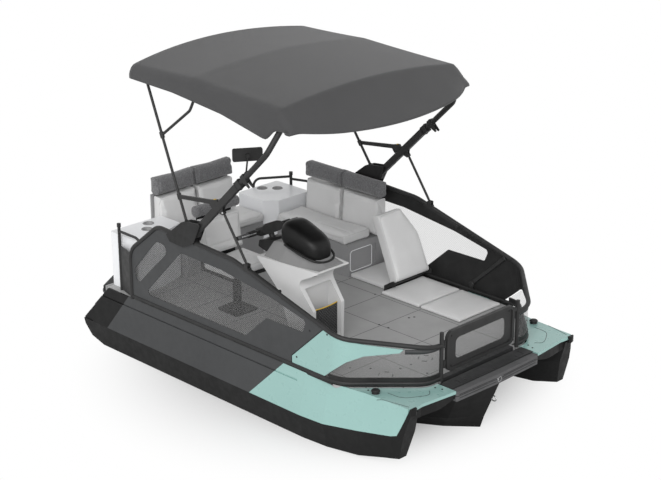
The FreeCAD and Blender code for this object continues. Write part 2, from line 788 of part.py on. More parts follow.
def grab_rail():
    # Boarding rail from the port post round the back of the table to the platform.
    foot_x, foot_y, level = stern_post_x - 199, 735, stern_post_top - 15
    return bent_tube([(stern_post_x, stern_post_y, level), (foot_x, foot_y, level),
                      (foot_x, foot_y, deck_top)], [70], stern_tube_radius)


def stern_rails():
    port = stern_rail().fuse(grab_rail())
    return Part.makeCompound([port, mirrored(stern_rail())])


# Bow gate

def gate_frame():
    low_x, high_x = rail_bow_x - gate_bar / 2, rail_bow_x + gate_bar / 2
    outer = rectangle(-gate_half_width, gate_half_width, gate_bottom, gate_top)
    inner = rectangle(gate_bar - gate_half_width, gate_half_width - gate_bar, gate_bottom + gate_bar,
                      gate_top - gate_bar)
    ring = slab(outer, "x", low_x, high_x, 60).cut(slab(inner, "x", low_x - 1, high_x + 1, 32))
    plate = slab(inner, "x", rail_bow_x - 4, rail_bow_x + 4, 32).cut(gate_opening(0, 20))
    knuckles = []
    for z in gate_hinge_levels:
        knuckles.append(box(rail_bow_x - 5, rail_bow_x + 5, gate_hinge_y, 2 - gate_half_width, z - 20,
                            z + 20))
        knuckles.append(rod((rail_bow_x, gate_hinge_y, z - 20), (rail_bow_x, gate_hinge_y, z + 20),
                            hinge_radius))
    latch = box(rail_bow_x - 8, rail_bow_x + 8, gate_half_width - 2, gate_post_y - gate_post_radius - 2, 880,
                910)
    return ring.fuse([plate, latch] + knuckles)


def gate_opening(step, half_depth):
    outline = shrunk(rectangle(-300, 300, 690, 870), step) if step else rectangle(-300, 300, 690, 870)
    return slab(outline, "x", rail_bow_x - half_depth, rail_bow_x + half_depth, 45 - step)


def gate_window():
    return gate_opening(fit_gap, 3)


def gate_hinges():
    parts = []
    for z in gate_hinge_levels:
        barrel = rod((rail_bow_x, gate_hinge_y, z - 44), (rail_bow_x, gate_hinge_y, z - 20.3), hinge_radius)
        leaf = box(rail_bow_x - 5, rail_bow_x + 5, -gate_post_y, gate_hinge_y, z - 44, z - 20.3)
        post = rod((rail_bow_x, -gate_post_y, deck_top), (rail_bow_x, -gate_post_y, gate_post_top),
                   gate_post_radius)
        parts.append(barrel.fuse(leaf).cut(post))
    return Part.makeCompound(parts)


# Helm

def console():
    profile = [(430, deck_top), (650, deck_top), (655, 900), (480, 1120), (700, 1232), (715, console_lip_z),
               (60, console_lip_z), (60, console_lip_z - 15), (250, 1020)]
    body = slab(profile, "y", helm_y - 400, helm_y + 400, [20, 20, 30, 60, 12, 6, 6, 6, 30])
    low, high = console_half_low, console_half_top
    waist = loft([
        [(-20, helm_y - low, deck_top - 20), (820, helm_y - low, deck_top - 20),
         (820, helm_y + low, deck_top - 20), (-20, helm_y + low, deck_top - 20)],
        [(-20, helm_y - high, console_lip_z + 40), (820, helm_y - low + 10, console_lip_z + 40),
         (820, helm_y + low - 10, console_lip_z + 40), (-20, helm_y + high, console_lip_z + 40)]])
    cubby = box(500, 800, helm_y - 145, helm_y + 145, 600, 1060)
    return body.common(waist).cut(cubby)


def console_hood():
    sections = []
    for x, half, height in ((110, 205, 100), (300, 210, 135), (500, 190, 95), (690, 140, 20)):
        low, high = console_lip_z + fit_gap, console_lip_z + height
        sections.append([(x, helm_y - half, low), (x, helm_y - half * 0.45, high),
                         (x, helm_y + half * 0.45, high), (x, helm_y + half, low)])
    return loft(sections)


def console_pod():
    sections = []
    for x, half, high in ((205, 70, 1425), (270, 115, 1515), (400, 130, 1530), (520, 120, 1465),
                          (610, 85, 1385)):
        low = console_lip_z + 30
        sections.append([(x, helm_y - half - 8, low), (x, helm_y - half, high - 50),
                         (x, helm_y - half * 0.6, high),
                         (x, helm_y + half * 0.6, high), (x, helm_y + half, high - 50),
                         (x, helm_y + half + 8, low)])
    return loft(sections).cut(console_hood())


def console_net():
    return box(602, 610, helm_y - 145, helm_y + 145, 600, 890)


def steering_point(depth, side=0, ahead=0):
    # A point below the handlebar along the raked steering axis.
    tilt = radians(steering_tilt)
    return (steering_x + depth * sin(tilt) + ahead * cos(tilt), helm_y + side,
            steering_z - depth * cos(tilt) + ahead * sin(tilt))


def helm_dash():
    profile = [(-75, 1262), (-62, 1318), (60, 1352), (109.5, 1349), (109.5, console_lip_z + fit_gap),
               (40, console_lip_z + fit_gap), (20, 1236)]
    body = slab(profile, "y", helm_y - 100, helm_y + 100, [10, 12, 20, 0, 0, 0, 10])
    return body.cut(rod(steering_point(30), steering_point(socket_depth), stem_radius + 5))


def handlebar():
    bar = bent_tube([steering_point(0, -335, -30), steering_point(0, -150, 0), steering_point(0, 150, 0),
                     steering_point(0, 335, -30)], [120, 120], bar_radius)
    grips = [rod(steering_point(0, s * 342, -31.1), steering_point(0, s * 225, -12.2), grip_radius)
             for s in (-1, 1)]
    stem = rod(steering_point(0), steering_point(stem_length), stem_radius)
    return bar.fuse(grips + [stem, bar_shroud()] + [switch_slab(s) for s in (-1, 1)])


def raked(points, low, high, radii=0):
    # Profile across the boat, given as side and height over the bar, thickened along the raked axis.
    shape = slab(points, "x", low, high, radii)
    shape.rotate(V(0, 0, 0), V(0, 1, 0), -steering_tilt)
    shape.translate(V(steering_x, helm_y, steering_z))
    return shape


def bar_shroud():
    outline = [(-125, -18), (-70, -42), (70, -42), (125, -18), (105, 32), (60, 46), (-60, 46), (-105, 32)]
    return raked(outline, -52, 40, 16)


def switch_slab(side):
    low, high = sorted((side * 168, side * 226))
    return raked(rectangle(low, high, -24, 26), -38, 18, 10)


def seat_pedestal():
    plate = slab(rectangle(seat_x - 130, seat_x + 130, seat_y - 125, seat_y + 125), "z", deck_top,
                 deck_top + 14, 25)
    foot = Part.makeCone(75, 42, 50, V(seat_x, seat_y, deck_top + 14))
    column = rod((seat_x, seat_y, deck_top + 14), (seat_x, seat_y, 880), 38)
    return plate.fuse([foot, column])


def seat_back_face(z):
    return seat_back_x - seat_lean * (z - seat_pan_z)


def seat_shell():
    pan_top = seat_pan_z + seat_pan_thickness
    hub = rod((seat_x, seat_y, 880.3), (seat_x, seat_y, seat_pan_z + 5), 60)
    pan = slab(rectangle(-700, seat_front_x - 25, seat_y - 215, seat_y + 215), "z", seat_pan_z, pan_top, 40)
    top = seat_back_top - 4
    back = slab([(seat_back_face(seat_pan_z) - 26, seat_pan_z), (seat_back_face(seat_pan_z), seat_pan_z),
                 (seat_back_face(top), top), (seat_back_face(top) - 22, top)], "y", seat_y - 190,
                 seat_y + 190)
    return pan.fuse([hub, back])


def seat_cushion():
    low = seat_pan_z + seat_pan_thickness
    return slab(rectangle(-640, seat_front_x, low, seat_cushion_top), "y", seat_y - 235, seat_y + 235, 28)


def seat_back():
    low, high = seat_cushion_top + fit_gap, seat_back_top
    outline = [(seat_back_face(low) + fit_gap, low), (-590, low), (-640, high),
               (seat_back_face(high) + fit_gap, high)]
    return slab(outline, "y", seat_y - 225, seat_y + 225, 22)


def seat_headrest():
    low = seat_back_top + fit_gap
    return slab(rectangle(-765, -655, low, low + 106), "y", seat_y - 238, seat_y + 238, 45)


# Benches, tables and lounge

def bench_bases():
    port = box(bench_stern_x, bench_front_x, bench_inner_y, bench_outer_y, deck_top, bench_seat_z)
    recess = slab(rectangle(bench_inner_y + 75, bench_outer_y - 125, 620, 800), "x", bench_front_x - 8,
                  bench_front_x + 1, 20)
    door = slab(rectangle(bench_stern_x + 100, bench_front_x - 125, 620, 800), "y", bench_inner_y - 1,
                bench_inner_y + 8, 20)
    seat = box(stern_wall_x, stern_seat_x, stern_bench_starboard, stern_bench_port, deck_top, bench_seat_z)
    wall = box(stern_wall_x, stern_wall_x + 14, stern_bench_starboard, stern_bench_port, deck_top, band_low_z)
    return Part.makeCompound([port.cut(recess).cut(door), seat.fuse(wall)])


def bench_cushions():
    low, high = bench_seat_z + fit_gap, bench_cushion_top
    port = slab(rectangle(545, 905, low, high), "x", bench_stern_x + 10, bench_front_x - 5, 28)
    stern = slab(rectangle(stern_seat_x - 325, stern_seat_x + 43, low, high), "y",
                  stern_bench_starboard + 5, stern_bench_port - 2, 28)
    return Part.makeCompound([port, stern])


def split(low, high):
    middle = (low + high) / 2
    return [(low, middle - 2), (middle + 2, high)]


def bench_backs():
    low, high = bench_seat_z + fit_gap, band_low_z - fit_gap
    port = [(908, low), (1050, low), (1050, high), (938, high)]
    stern = [(stern_wall_x + 177, low), (stern_wall_x + 117, high), (stern_wall_x + 14.5, high),
             (stern_wall_x + 14.5, low)]
    parts = [slab(port, "x", a, b, 20) for a, b in split(bench_stern_x + 10, bench_front_x + 45)]
    parts += [slab(stern, "y", a, b, 20) for a, b in split(stern_bench_starboard + 5, stern_bench_port - 5)]
    return Part.makeCompound(parts)


def bench_bands():
    port = rectangle(930, 1049, band_low_z, band_top_z)
    stern = [(stern_wall_x + 123, band_low_z), (stern_wall_x + 95, band_top_z + 15),
             (stern_wall_x - 13, band_top_z + 15), (stern_wall_x - 3, band_low_z)]
    parts = [slab(port, "x", a, b, 34) for a, b in split(bench_stern_x + 10, bench_front_x + 45)]
    parts += [slab(stern, "y", a, b, 34) for a, b in split(stern_bench_starboard + 5, stern_bench_port - 5)]
    return Part.makeCompound(parts)


def corner_table(outline, holders):
    body = slab(outline, "z", deck_top, table_top, 25)
    for x, y in holders:
        body = body.cut(rod((x, y, table_top - holder_depth), (x, y, table_top + 1), holder_radius))
    return body


def corner_tables():
    aft = deck_stern_x + 15
    port = corner_table([(aft, stern_bench_port + 5), (aft + 345, stern_bench_port + 5),
                         (bench_stern_x - 6, bench_inner_y + 29), (bench_stern_x - 6, table_outer_y),
                         (aft, table_outer_y)], [(aft + 70, 755), (aft + 174, 857)])
    starboard = corner_table([(aft, -table_outer_y), (aft + 388, -table_outer_y), (aft + 372, -716),
                              (aft + 270, stern_bench_starboard - 5), (aft, stern_bench_starboard - 5)],
                             [(aft + 81, -643), (aft + 191, -747)])
    return Part.makeCompound([port, starboard])


def lounge_pads():
    low = deck_top
    end = rail_bow_x - 637
    pads = [(bench_front_x + 6, 150, 592, pad_top + 10), (190, 652, 492, pad_top), (656, end, 492, pad_top)]
    return Part.makeCompound([slab(rectangle(inner, 1050, low, high), "x", x0, x1, 8)
                              for x0, x1, inner, high in pads])


def lounge_backrest():
    side = [(200, 606), (300, 655), (45, 1245), (-50, 1215)]
    body = slab(side, "y", backrest_inner_y, backrest_outer_y, [20, 25, 30, 30])
    front = slab([(backrest_inner_y - 1, 560), (backrest_outer_y + 1, 560), (backrest_outer_y - 4, 1000),
                  (880, 1290),
                  (backrest_inner_y - 1, 1290)], "x", -200, 400, [0, 0, 120, 60, 40])
    pin_hole = rod((backrest_hinge_x, 500, backrest_hinge_z), (backrest_hinge_x, 1200, backrest_hinge_z),
                   backrest_pin + 0.4)
    return body.common(front).cut(pin_hole)


def lounge_hinge():
    # Foot bar between the pads with an ear and a pin at each end of the backrest.
    ear = [(154, deck_top), (186, deck_top), (186, 602), (285, 626), (283, 662), (262, 672), (240, 662),
           (154, 606)]
    inner_ear = slab(ear, "y", backrest_inner_y - 18, backrest_inner_y - 8)
    outer_ear = slab(ear, "y", backrest_outer_y + 8, backrest_outer_y + 18)
    bar = box(156, 184, backrest_inner_y - 18, backrest_outer_y + 18, deck_top, 588)
    pin = rod((backrest_hinge_x, backrest_inner_y - 18, backrest_hinge_z),
              (backrest_hinge_x, backrest_outer_y + 18, backrest_hinge_z), backrest_pin)
    return bar.fuse([inner_ear, outer_ear, pin])


# Folding top

def arm_direction():
    length = hypot(arm_bend_x - top_pivot_x, arm_bend_z - top_pivot_z)
    return (arm_bend_x - top_pivot_x) / length, (arm_bend_z - top_pivot_z) / length


def along_arm(distance, above=0):
    # Point at a distance from the pivot along the straight arm, and above or below its axis.
    u, w = arm_direction()
    return top_pivot_x + u * distance - w * above, top_pivot_z + w * distance + u * above


def arm_beam(start, end, half_depth, width):
    outline = [along_arm(start, -half_depth), along_arm(end, -half_depth), along_arm(end, half_depth),
               along_arm(start, half_depth)]
    return slab(outline, "y", arm_y - width / 2, arm_y + width / 2)


def cloth_level(x):
    # Height of the cloth's upper face on the centre line.
    points = [(cloth_stern_x, cloth_stern_z), (mid_bow_x, cloth_mid_z), (crease_x, cloth_crease_z)]
    for (x0, z0), (x1, z1) in zip(points[:-1], points[1:]):
        if x <= x1:
            return z0 + (z1 - z0) * (x - x0) / (x1 - x0)


def crown_drop(y):
    return crown_radius - sqrt(crown_radius ** 2 - y ** 2)


def cross_bow(x, radius):
    # Corners of a bow that follows the crown of the cloth just under it, and its bends.
    turn = asin(bow_arc_half / crown_radius)
    bend = crown_radius - cloth_thickness - radius
    crown = cloth_level(x) - cloth_thickness - radius - bow_gap
    apex = crown + bend * (1 / cos(turn) - 1)
    end = apex - tan(turn) * bow_corner_y
    return [(x, bow_corner_y, end), (x, 0, apex), (x, -bow_corner_y, end)], [bend]


def top_arms():
    sleeve = 790
    hub = rod((top_pivot_x, arm_y - arm_width / 2, top_pivot_z),
              (top_pivot_x, arm_y + arm_width / 2, top_pivot_z),
              pivot_hub)
    bore = rod((top_pivot_x, arm_y - 50, top_pivot_z), (top_pivot_x, arm_y + 50, top_pivot_z),
               pivot_pin + 0.3)
    beam = arm_beam(0, sleeve, arm_half_depth, arm_width)
    band = arm_beam(sleeve - 45, sleeve + 15, arm_half_depth + 5, arm_width + 8)
    lug = slab([(strut_foot[0] - 8, strut_foot[2] + 14), (strut_foot[0] - 14, strut_foot[2] - 10),
                (top_pivot_x - 20, top_pivot_z - 30), (top_pivot_x + 10, top_pivot_z + 40)],
               "y", arm_y - 10, arm_y + 10).cut(rod(strut_foot, rear_strut_point(1600), strut_radius))
    side = beam.fuse([hub, band, lug, brace_ears(), stow_clip()]).cut(bore)
    start = along_arm(sleeve - 40)
    over, crown = cross_bow(front_bow_x, bow_radius)
    half = [(start[0], arm_y, start[1]), (arm_bend_x, arm_y, arm_bend_z),
            (front_bow_x - 3, bow_corner_y + 10, cloth_crease_z - arm_knee_drop)]
    other = [(x, -y, z) for x, y, z in half[::-1]]
    bow = bent_tube(half + over + other, [110, 60, 60] + crown + [60, 60, 110], bow_radius)
    return bow.fuse([side, mirrored(side)])


def brace_ears():
    # Two plates under the arm that hold the top pin of the brace.
    u, w = arm_direction()
    along = (brace_x - top_pivot_x) * u + (brace_z - top_pivot_z) * w
    below = (brace_z - top_pivot_z) * u - (brace_x - top_pivot_x) * w
    outline = [along_arm(along - 45, 2 - arm_half_depth), along_arm(along - 16, below - 14),
               along_arm(along + 13, below - 14), along_arm(along + 17, below + 16),
               along_arm(along + 45, 2 - arm_half_depth)]
    plates = [slab(outline, "y", arm_y + s, arm_y + s + 6) for s in (-15, 9)]
    pin = rod((brace_x, arm_y - 15, brace_z), (brace_x, arm_y + 15, brace_z), brace_pin)
    return pin.fuse(plates)


def stow_clip():
    # Two prongs under the arm that take the brace when the top is folded.
    prongs = []
    for s in (-23, 17):
        outline = [along_arm(850, -28), along_arm(890, -28), along_arm(892, -92), along_arm(872, -92)]
        prongs.append(slab(outline, "y", arm_y + s, arm_y + s + 6))
    root = arm_beam(846, 892, 34, 46)
    inside = arm_beam(840, 900, 22, 36)
    return root.cut(inside).fuse(prongs)


strut_foot = (-519.0, arm_y, 1470.0)


def rear_strut_point(z):
    # Point on the raked rear strut of the port side.
    top = cross_bow(rear_bow_x, strut_radius)[0][0]
    t = (z - strut_foot[2]) / (top[2] - strut_foot[2])
    return tuple(a + (b - a) * t for a, b in zip(strut_foot, top))


def top_bows():
    rear, crown = cross_bow(rear_bow_x, strut_radius)
    points = [strut_foot] + rear + [(strut_foot[0], -strut_foot[1], strut_foot[2])]
    rear_bow = bent_tube(points, [110] + crown + [110], strut_radius)
    mid, crown = cross_bow(mid_bow_x, strut_radius)
    low_knee = (mid_bow_x - 41, bow_corner_y + 45, cloth_mid_z - 349)
    rise = [rear_strut_point(strut_joint_z), low_knee, (mid_bow_x - 6, bow_corner_y + 14, cloth_mid_z - 230)]
    fall = [(x, -y, z) for x, y, z in rise[::-1]]
    mid_bow = bent_tube(rise + mid + fall, [60, 60, 60] + crown + [60, 60, 60], strut_radius)
    fittings = [clamp(strut_joint_z), top_link()]
    return rear_bow.fuse([mid_bow] + fittings + [mirrored(shape) for shape in fittings])


def clamp(z):
    return rod(rear_strut_point(z - 22), rear_strut_point(z + 22), strut_radius + 7)


def top_link():
    # Short bar from the rear strut to a catch on top of the arm.
    joint = rear_strut_point(1655)
    foot = along_arm(345, arm_half_depth + 3)
    outline = [(joint[0], joint[2] - 15), (joint[0], joint[2] + 16), (-225, 1724), (-140, 1745), (-118, 1722),
               (foot[0] + 12, foot[1] + 12), (foot[0] - 18, foot[1] - 16), (-225, 1688)]
    bar = slab(outline, "y", joint[1] - 1, joint[1] + 17)
    return bar.fuse(clamp(1655))


def brace_angle():
    return atan2(brace_foot_z() - brace_z, brace_foot_x - brace_x)


def top_brace():
    eye = rod((brace_x, arm_y - 7, brace_z), (brace_x, arm_y + 7, brace_z), 11)
    foot_z = brace_foot_z()
    toe = rod((brace_foot_x, arm_y - 6, foot_z), (brace_foot_x, arm_y + 6, foot_z), 12)
    u, w = cos(brace_angle()), sin(brace_angle())
    tube = rod((brace_x + 24 * u, arm_y, brace_z + 24 * w), (brace_foot_x - 34 * u, arm_y, foot_z - 34 * w),
               brace_radius)
    necks = []
    for x, z, s in ((brace_x, brace_z, 1), (brace_foot_x, foot_z, -1)):
        side = [(x - w * 8, z + u * 8), (x + w * 8, z - u * 8),
                (x + w * 8 + u * 40 * s, z - u * 8 + w * 40 * s),
                (x - w * 8 + u * 40 * s, z + u * 8 + w * 40 * s)]
        necks.append(slab(side, "y", arm_y - 6, arm_y + 6))
    hole = rod((brace_x, arm_y - 30, brace_z), (brace_x, arm_y + 30, brace_z), brace_pin + 0.3)
    return tube.fuse([eye, toe] + necks).cut(hole)


def top_fairing():
    # Two cheeks on a saddle over the rail, with the pin that the top turns on.
    outline = [(-752, 1300), (-540, 1462), (-500, 1478), (-300, 1500), (-392, 1318), (-534, 1240),
               (-706, 1248)]
    outer = slab(outline, "y", rail_y + rail_radius + 5, rail_y + rail_radius + 13, [0, 20, 40, 12, 0, 0, 0])
    inner = slab(outline, "y", 1055, 1063, [0, 20, 40, 12, 0, 0, 0])
    saddle = slab([(-700, 1262), (-700, 1336), (-420, 1336), (-400, 1300), (-534, 1262)], "y", 1055,
                  rail_y + rail_radius + 13)
    pin = rod((top_pivot_x, 1055, top_pivot_z), (top_pivot_x, rail_y + rail_radius + 13, top_pivot_z),
              pivot_pin)
    shape = outer.fuse([inner, saddle, pin])
    return shape.cut(top_rail(rail_radius)).cut(panel_plane(side_panel_outline, panel_thickness + 1))


def mirror():
    # Driver's mirror on a stalk from the starboard arm, turned towards the helm.
    x, y, z = 222, 32 - arm_y, 2199
    half_width, half_height, depth = 120, 52, 26
    head = slab(rectangle(-half_width, half_width, z - half_height, z + half_height), "x", -depth / 2,
                depth / 2, 14)
    head.rotate(V(0, 0, 0), V(0, 0, 1), -33)
    head.translate(V(x, y, 0))
    neck = (x + 14, y - 9, z - 4)
    ball = rod((neck[0] - 14, neck[1] + 9, z - 4), (neck[0] + 14, neck[1] - 9, z - 4), 17)
    foot = along_arm(916, bow_radius + 1)
    stalk = rod((foot[0], -arm_y, foot[1]), neck, 7)
    collar = rod(sided(along_arm(902, bow_radius - 2)), sided(along_arm(930, bow_radius - 2)), 15)
    return head.fuse([ball, stalk, collar]).cut(rod(sided(along_arm(800)), sided(along_arm(1000)),
                                                    bow_radius))


def sided(pair):
    return (pair[0], -arm_y, pair[1])


def canopy():
    sections = []
    for share in (-1, -0.75, -0.45, -0.15, 0.15, 0.45, 0.75, 1):
        y = share * (canopy_half - cloth_thickness)
        arch = 1 - share ** 2
        stern = -1258 - 78 * arch
        upper = [(x, y, cloth_level(x) - crown_drop(y)) for x in (stern, mid_bow_x, crease_x)]
        upper.append((783 + 142 * arch, y, 2452 - 55 * arch))
        lower = [(x - 3, y, z - cloth_thickness) for x, y, z in upper]
        sections.append(upper + lower[::-1])
    sheet = loft(sections)
    edge = [(x, z) for x, y, z in sections[-1][:4]]
    hem = edge[-1]
    side = edge + [(hem[0] - 20, hem[1] - 4), (640, 2462), (520, 2455), (425, 2362), (395, 2362),
                   (-100, 2462),
                   (-700, 2525), (-1282, 2545)]
    low, high = canopy_half - cloth_thickness, canopy_half
    skirt = slab(side, "y", low, high)
    return sheet.fuse([skirt, mirrored(skirt)])


def save_all():
    save("center_hull", center_hull())
    save("engine_block", engine_box(0))
    save("sponsons", both_sides(sponson()))
    save("side_skins", both_sides(side_skin()))
    save("stern_caps", both_sides(stern_cap()))
    save("bow_caps", both_sides(bow_cap()))
    save("bow_fascias", both_sides(bow_fascia()))
    save("jet_pump", jet_pump())
    save("impeller", impeller())
    save("steering_nozzle", steering_nozzle())
    save("reverse_bucket", reverse_bucket())
    save("deck", deck())
    save("swim_platform", swim_platform())
    save("bow_step", bow_step())
    save("bow_bumper", bow_bumper())
    save("stern_bumpers", both_sides(stern_bumper()))
    save("rails", rails())
    save("rail_brackets", both_sides(rail_bracket()))
    save("side_panels", both_sides(side_panel()))
    save("side_windows", both_sides(side_window()))
    save("bow_side_panels", both_sides(bow_side_panel()))
    save("bow_windows", both_sides(bow_window()))
    save("bow_window_frames", both_sides(bow_window_frame()))
    save("stern_rails", stern_rails())
    save("gate_frame", gate_frame())
    save("gate_window", gate_window())
    save("gate_hinges", gate_hinges())
    save("console", console())
    save("console_hood", console_hood())
    save("console_pod", console_pod())
    save("console_net", console_net())
    save("helm_dash", helm_dash())
    save("handlebar", handlebar())
    save("seat_pedestal", seat_pedestal())
    save("seat_shell", seat_shell())
    save("seat_cushion", seat_cushion())
    save("seat_back", seat_back())
    save("seat_headrest", seat_headrest())
    save("bench_bases", bench_bases())
    save("bench_cushions", bench_cushions())
    save("bench_backs", bench_backs())
    save("bench_bands", bench_bands())
    save("corner_tables", corner_tables())
    save("lounge_pads", lounge_pads())
    save("lounge_backrest", lounge_backrest())
    save("lounge_hinge", lounge_hinge())
    save("top_fairings", both_sides(top_fairing()))
    save("top_arms", top_arms())
    save("top_bows", top_bows())
    save("top_brace_port", top_brace())
    save("top_brace_starboard", mirrored(top_brace()))
    save("mirror", mirror())
    save("canopy", canopy())


save_all()
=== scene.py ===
import math

import bmesh
import bpy
import numpy as np
from mathutils import Matrix, Vector
from mathutils.bvhtree import BVHTree


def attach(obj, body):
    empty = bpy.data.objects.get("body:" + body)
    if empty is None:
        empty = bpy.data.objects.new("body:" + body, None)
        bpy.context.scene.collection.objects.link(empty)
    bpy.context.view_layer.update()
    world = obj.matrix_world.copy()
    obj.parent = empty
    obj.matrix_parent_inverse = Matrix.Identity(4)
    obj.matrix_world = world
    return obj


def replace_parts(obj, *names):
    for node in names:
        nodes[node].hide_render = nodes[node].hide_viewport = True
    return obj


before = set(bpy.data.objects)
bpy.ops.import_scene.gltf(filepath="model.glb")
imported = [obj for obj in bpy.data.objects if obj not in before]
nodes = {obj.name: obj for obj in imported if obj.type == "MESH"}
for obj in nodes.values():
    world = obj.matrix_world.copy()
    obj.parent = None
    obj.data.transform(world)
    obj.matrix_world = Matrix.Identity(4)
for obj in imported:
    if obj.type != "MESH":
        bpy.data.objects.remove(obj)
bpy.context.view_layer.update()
print("frame loaded")

# Sizes are metres in the boat's frame: +x bow, +y port, z = 0 under the keels.

cameraFacts = dict(place=(9.3939, -9.2236, 6.0029), azimuth=45.31, elevation=20.24, roll=-0.197,
                   focalPixels=1635.39, frameWidth=661, sensor=36)


def makeCamera(facts):
    # Looks along minus back; right and up are turned by the roll.
    a, e, r = (math.radians(facts[k]) for k in ("azimuth", "elevation", "roll"))
    back = np.array([math.sin(a) * math.cos(e), -math.cos(a) * math.cos(e), math.sin(e)])
    right = np.array([math.cos(a), math.sin(a), 0])
    up = np.cross(back, right)
    right, up = right * math.cos(r) + up * math.sin(r), up * math.cos(r) - right * math.sin(r)
    data = bpy.data.cameras.new("photoCamera")
    data.sensor_width = facts["sensor"]
    data.lens = facts["sensor"] * facts["focalPixels"] / facts["frameWidth"]
    camera = bpy.data.objects.new("photoCamera", data)
    rows = np.column_stack([right, up, back, facts["place"]]).tolist()
    camera.matrix_world = Matrix(rows + [[0, 0, 0, 1]])
    bpy.context.scene.collection.objects.link(camera)
    bpy.context.scene.camera = camera


def linear(code):
    # sRGB hex to linear colour.
    c = np.array([int(code[i:i + 2], 16) for i in (1, 3, 5)]) / 255
    c = np.where(c <= 0.04045, c / 12.92, ((c + 0.055) / 1.055) ** 2.4)
    return (*c, 1.0)


def feed(tree, node, inputs):
    # Links sockets and sets plain values; a node stands for its first output.
    for key, value in inputs.items():
        if isinstance(value, bpy.types.Node):
            value = value.outputs[0]
        if isinstance(value, bpy.types.NodeSocket):
            tree.links.new(value, node.inputs[key])
        else:
            node.inputs[key].default_value = value


def addNode(tree, kind, inputs=None, **settings):
    node = tree.nodes.new("ShaderNode" + kind)
    for key, value in settings.items():
        setattr(node, key, value)
    feed(tree, node, inputs or {})
    return node


materials = {}


def startMaterial(name, **inputs):
    # A Principled material whose inputs are plain numbers, colours as hex.
    material = bpy.data.materials.new(name)
    material.use_nodes = True
    tree = material.node_tree
    tree.nodes.clear()
    shader = addNode(tree, "BsdfPrincipled")
    for key, value in inputs.items():
        key = key.replace("_", " ")
        shader.inputs[key].default_value = linear(value) if isinstance(value, str) else value
    addNode(tree, "OutputMaterial", {"Surface": shader})
    materials[name] = material
    return tree, shader, addNode(tree, "TexCoord").outputs["Object"]


def mottle(tree, shader, place, dark, light, size, detail=3.0):
    # Slow drift of the base colour between two near shades; size is the blotch in millimetres.
    noise = addNode(tree, "TexNoise", {"Vector": place, "Scale": 1000 / size, "Detail": detail})
    ramp = addNode(tree, "ValToRGB", {"Fac": noise})
    ramp.color_ramp.elements[0].position, ramp.color_ramp.elements[1].position = 0.3, 0.7
    ramp.color_ramp.elements[0].color, ramp.color_ramp.elements[1].color = linear(dark), linear(light)
    feed(tree, shader, {"Base Color": ramp})
    return ramp


def grain(tree, shader, place, size, depth, strength, cells):
    # Fine relief: noise or leather-like cells of the given size and depth in millimetres.
    if cells:
        height = addNode(tree, "TexVoronoi", {"Vector": place, "Scale": 1000 / size}, feature="SMOOTH_F1")
    else:
        height = addNode(tree, "TexNoise", {"Vector": place, "Scale": 1000 / size, "Detail": 4.0})
    bump = addNode(tree, "Bump", {"Height": height, "Strength": strength, "Distance": depth / 1000})
    feed(tree, shader, {"Normal": bump})


def wear(tree, shader, place, low, high, size=60):
    # Handling marks: the roughness drifts between two values.
    noise = addNode(tree, "TexNoise", {"Vector": place, "Scale": 1000 / size, "Detail": 6.0})
    spread = addNode(tree, "MapRange", {"Value": noise, "From Min": 0.35, "From Max": 0.65, "To Min": low,
                                        "To Max": high})
    feed(tree, shader, {"Roughness": spread})


def simpleFinish(name, dark, light, roughness, size, depth, blotch, cells=False, strength=0.4, **inputs):
    # Two near shades in blotches, fine relief and handling marks; size, depth and blotch in millimetres.
    tree, shader, place = startMaterial(name, **inputs)
    mottle(tree, shader, place, dark, light, blotch)
    grain(tree, shader, place, size, depth, strength, cells)
    wear(tree, shader, place, roughness - 0.06, roughness + 0.08)


def sineWave(tree, socket, pitch):
    # A wave along one coordinate, its pitch in millimetres.
    turn = addNode(tree, "Math", {0: socket, 1: 2000 * math.pi / pitch}, operation="MULTIPLY")
    return addNode(tree, "Math", {0: turn}, operation="SINE")


def weave(name, dark, light, thread, roughness, sheen, blotch):
    # Woven cloth: crossing threads give the relief, and two yarn shades mix in flecks.
    tree, shader, place = startMaterial(name, Roughness=roughness, Sheen_Weight=sheen, Sheen_Roughness=0.45)
    mottle(tree, shader, place, dark, light, blotch, 8.0)
    split = addNode(tree, "SeparateXYZ", {"Vector": place})
    waves = [sineWave(tree, split.outputs[axis], thread) for axis in "XYZ"]
    first = addNode(tree, "Math", {0: waves[0], 1: waves[1]}, operation="ADD")
    total = addNode(tree, "Math", {0: first, 1: waves[2]}, operation="ADD")
    bump = addNode(tree, "Bump", {"Height": total, "Strength": 0.25, "Distance": 0.0012})
    feed(tree, shader, {"Normal": bump})


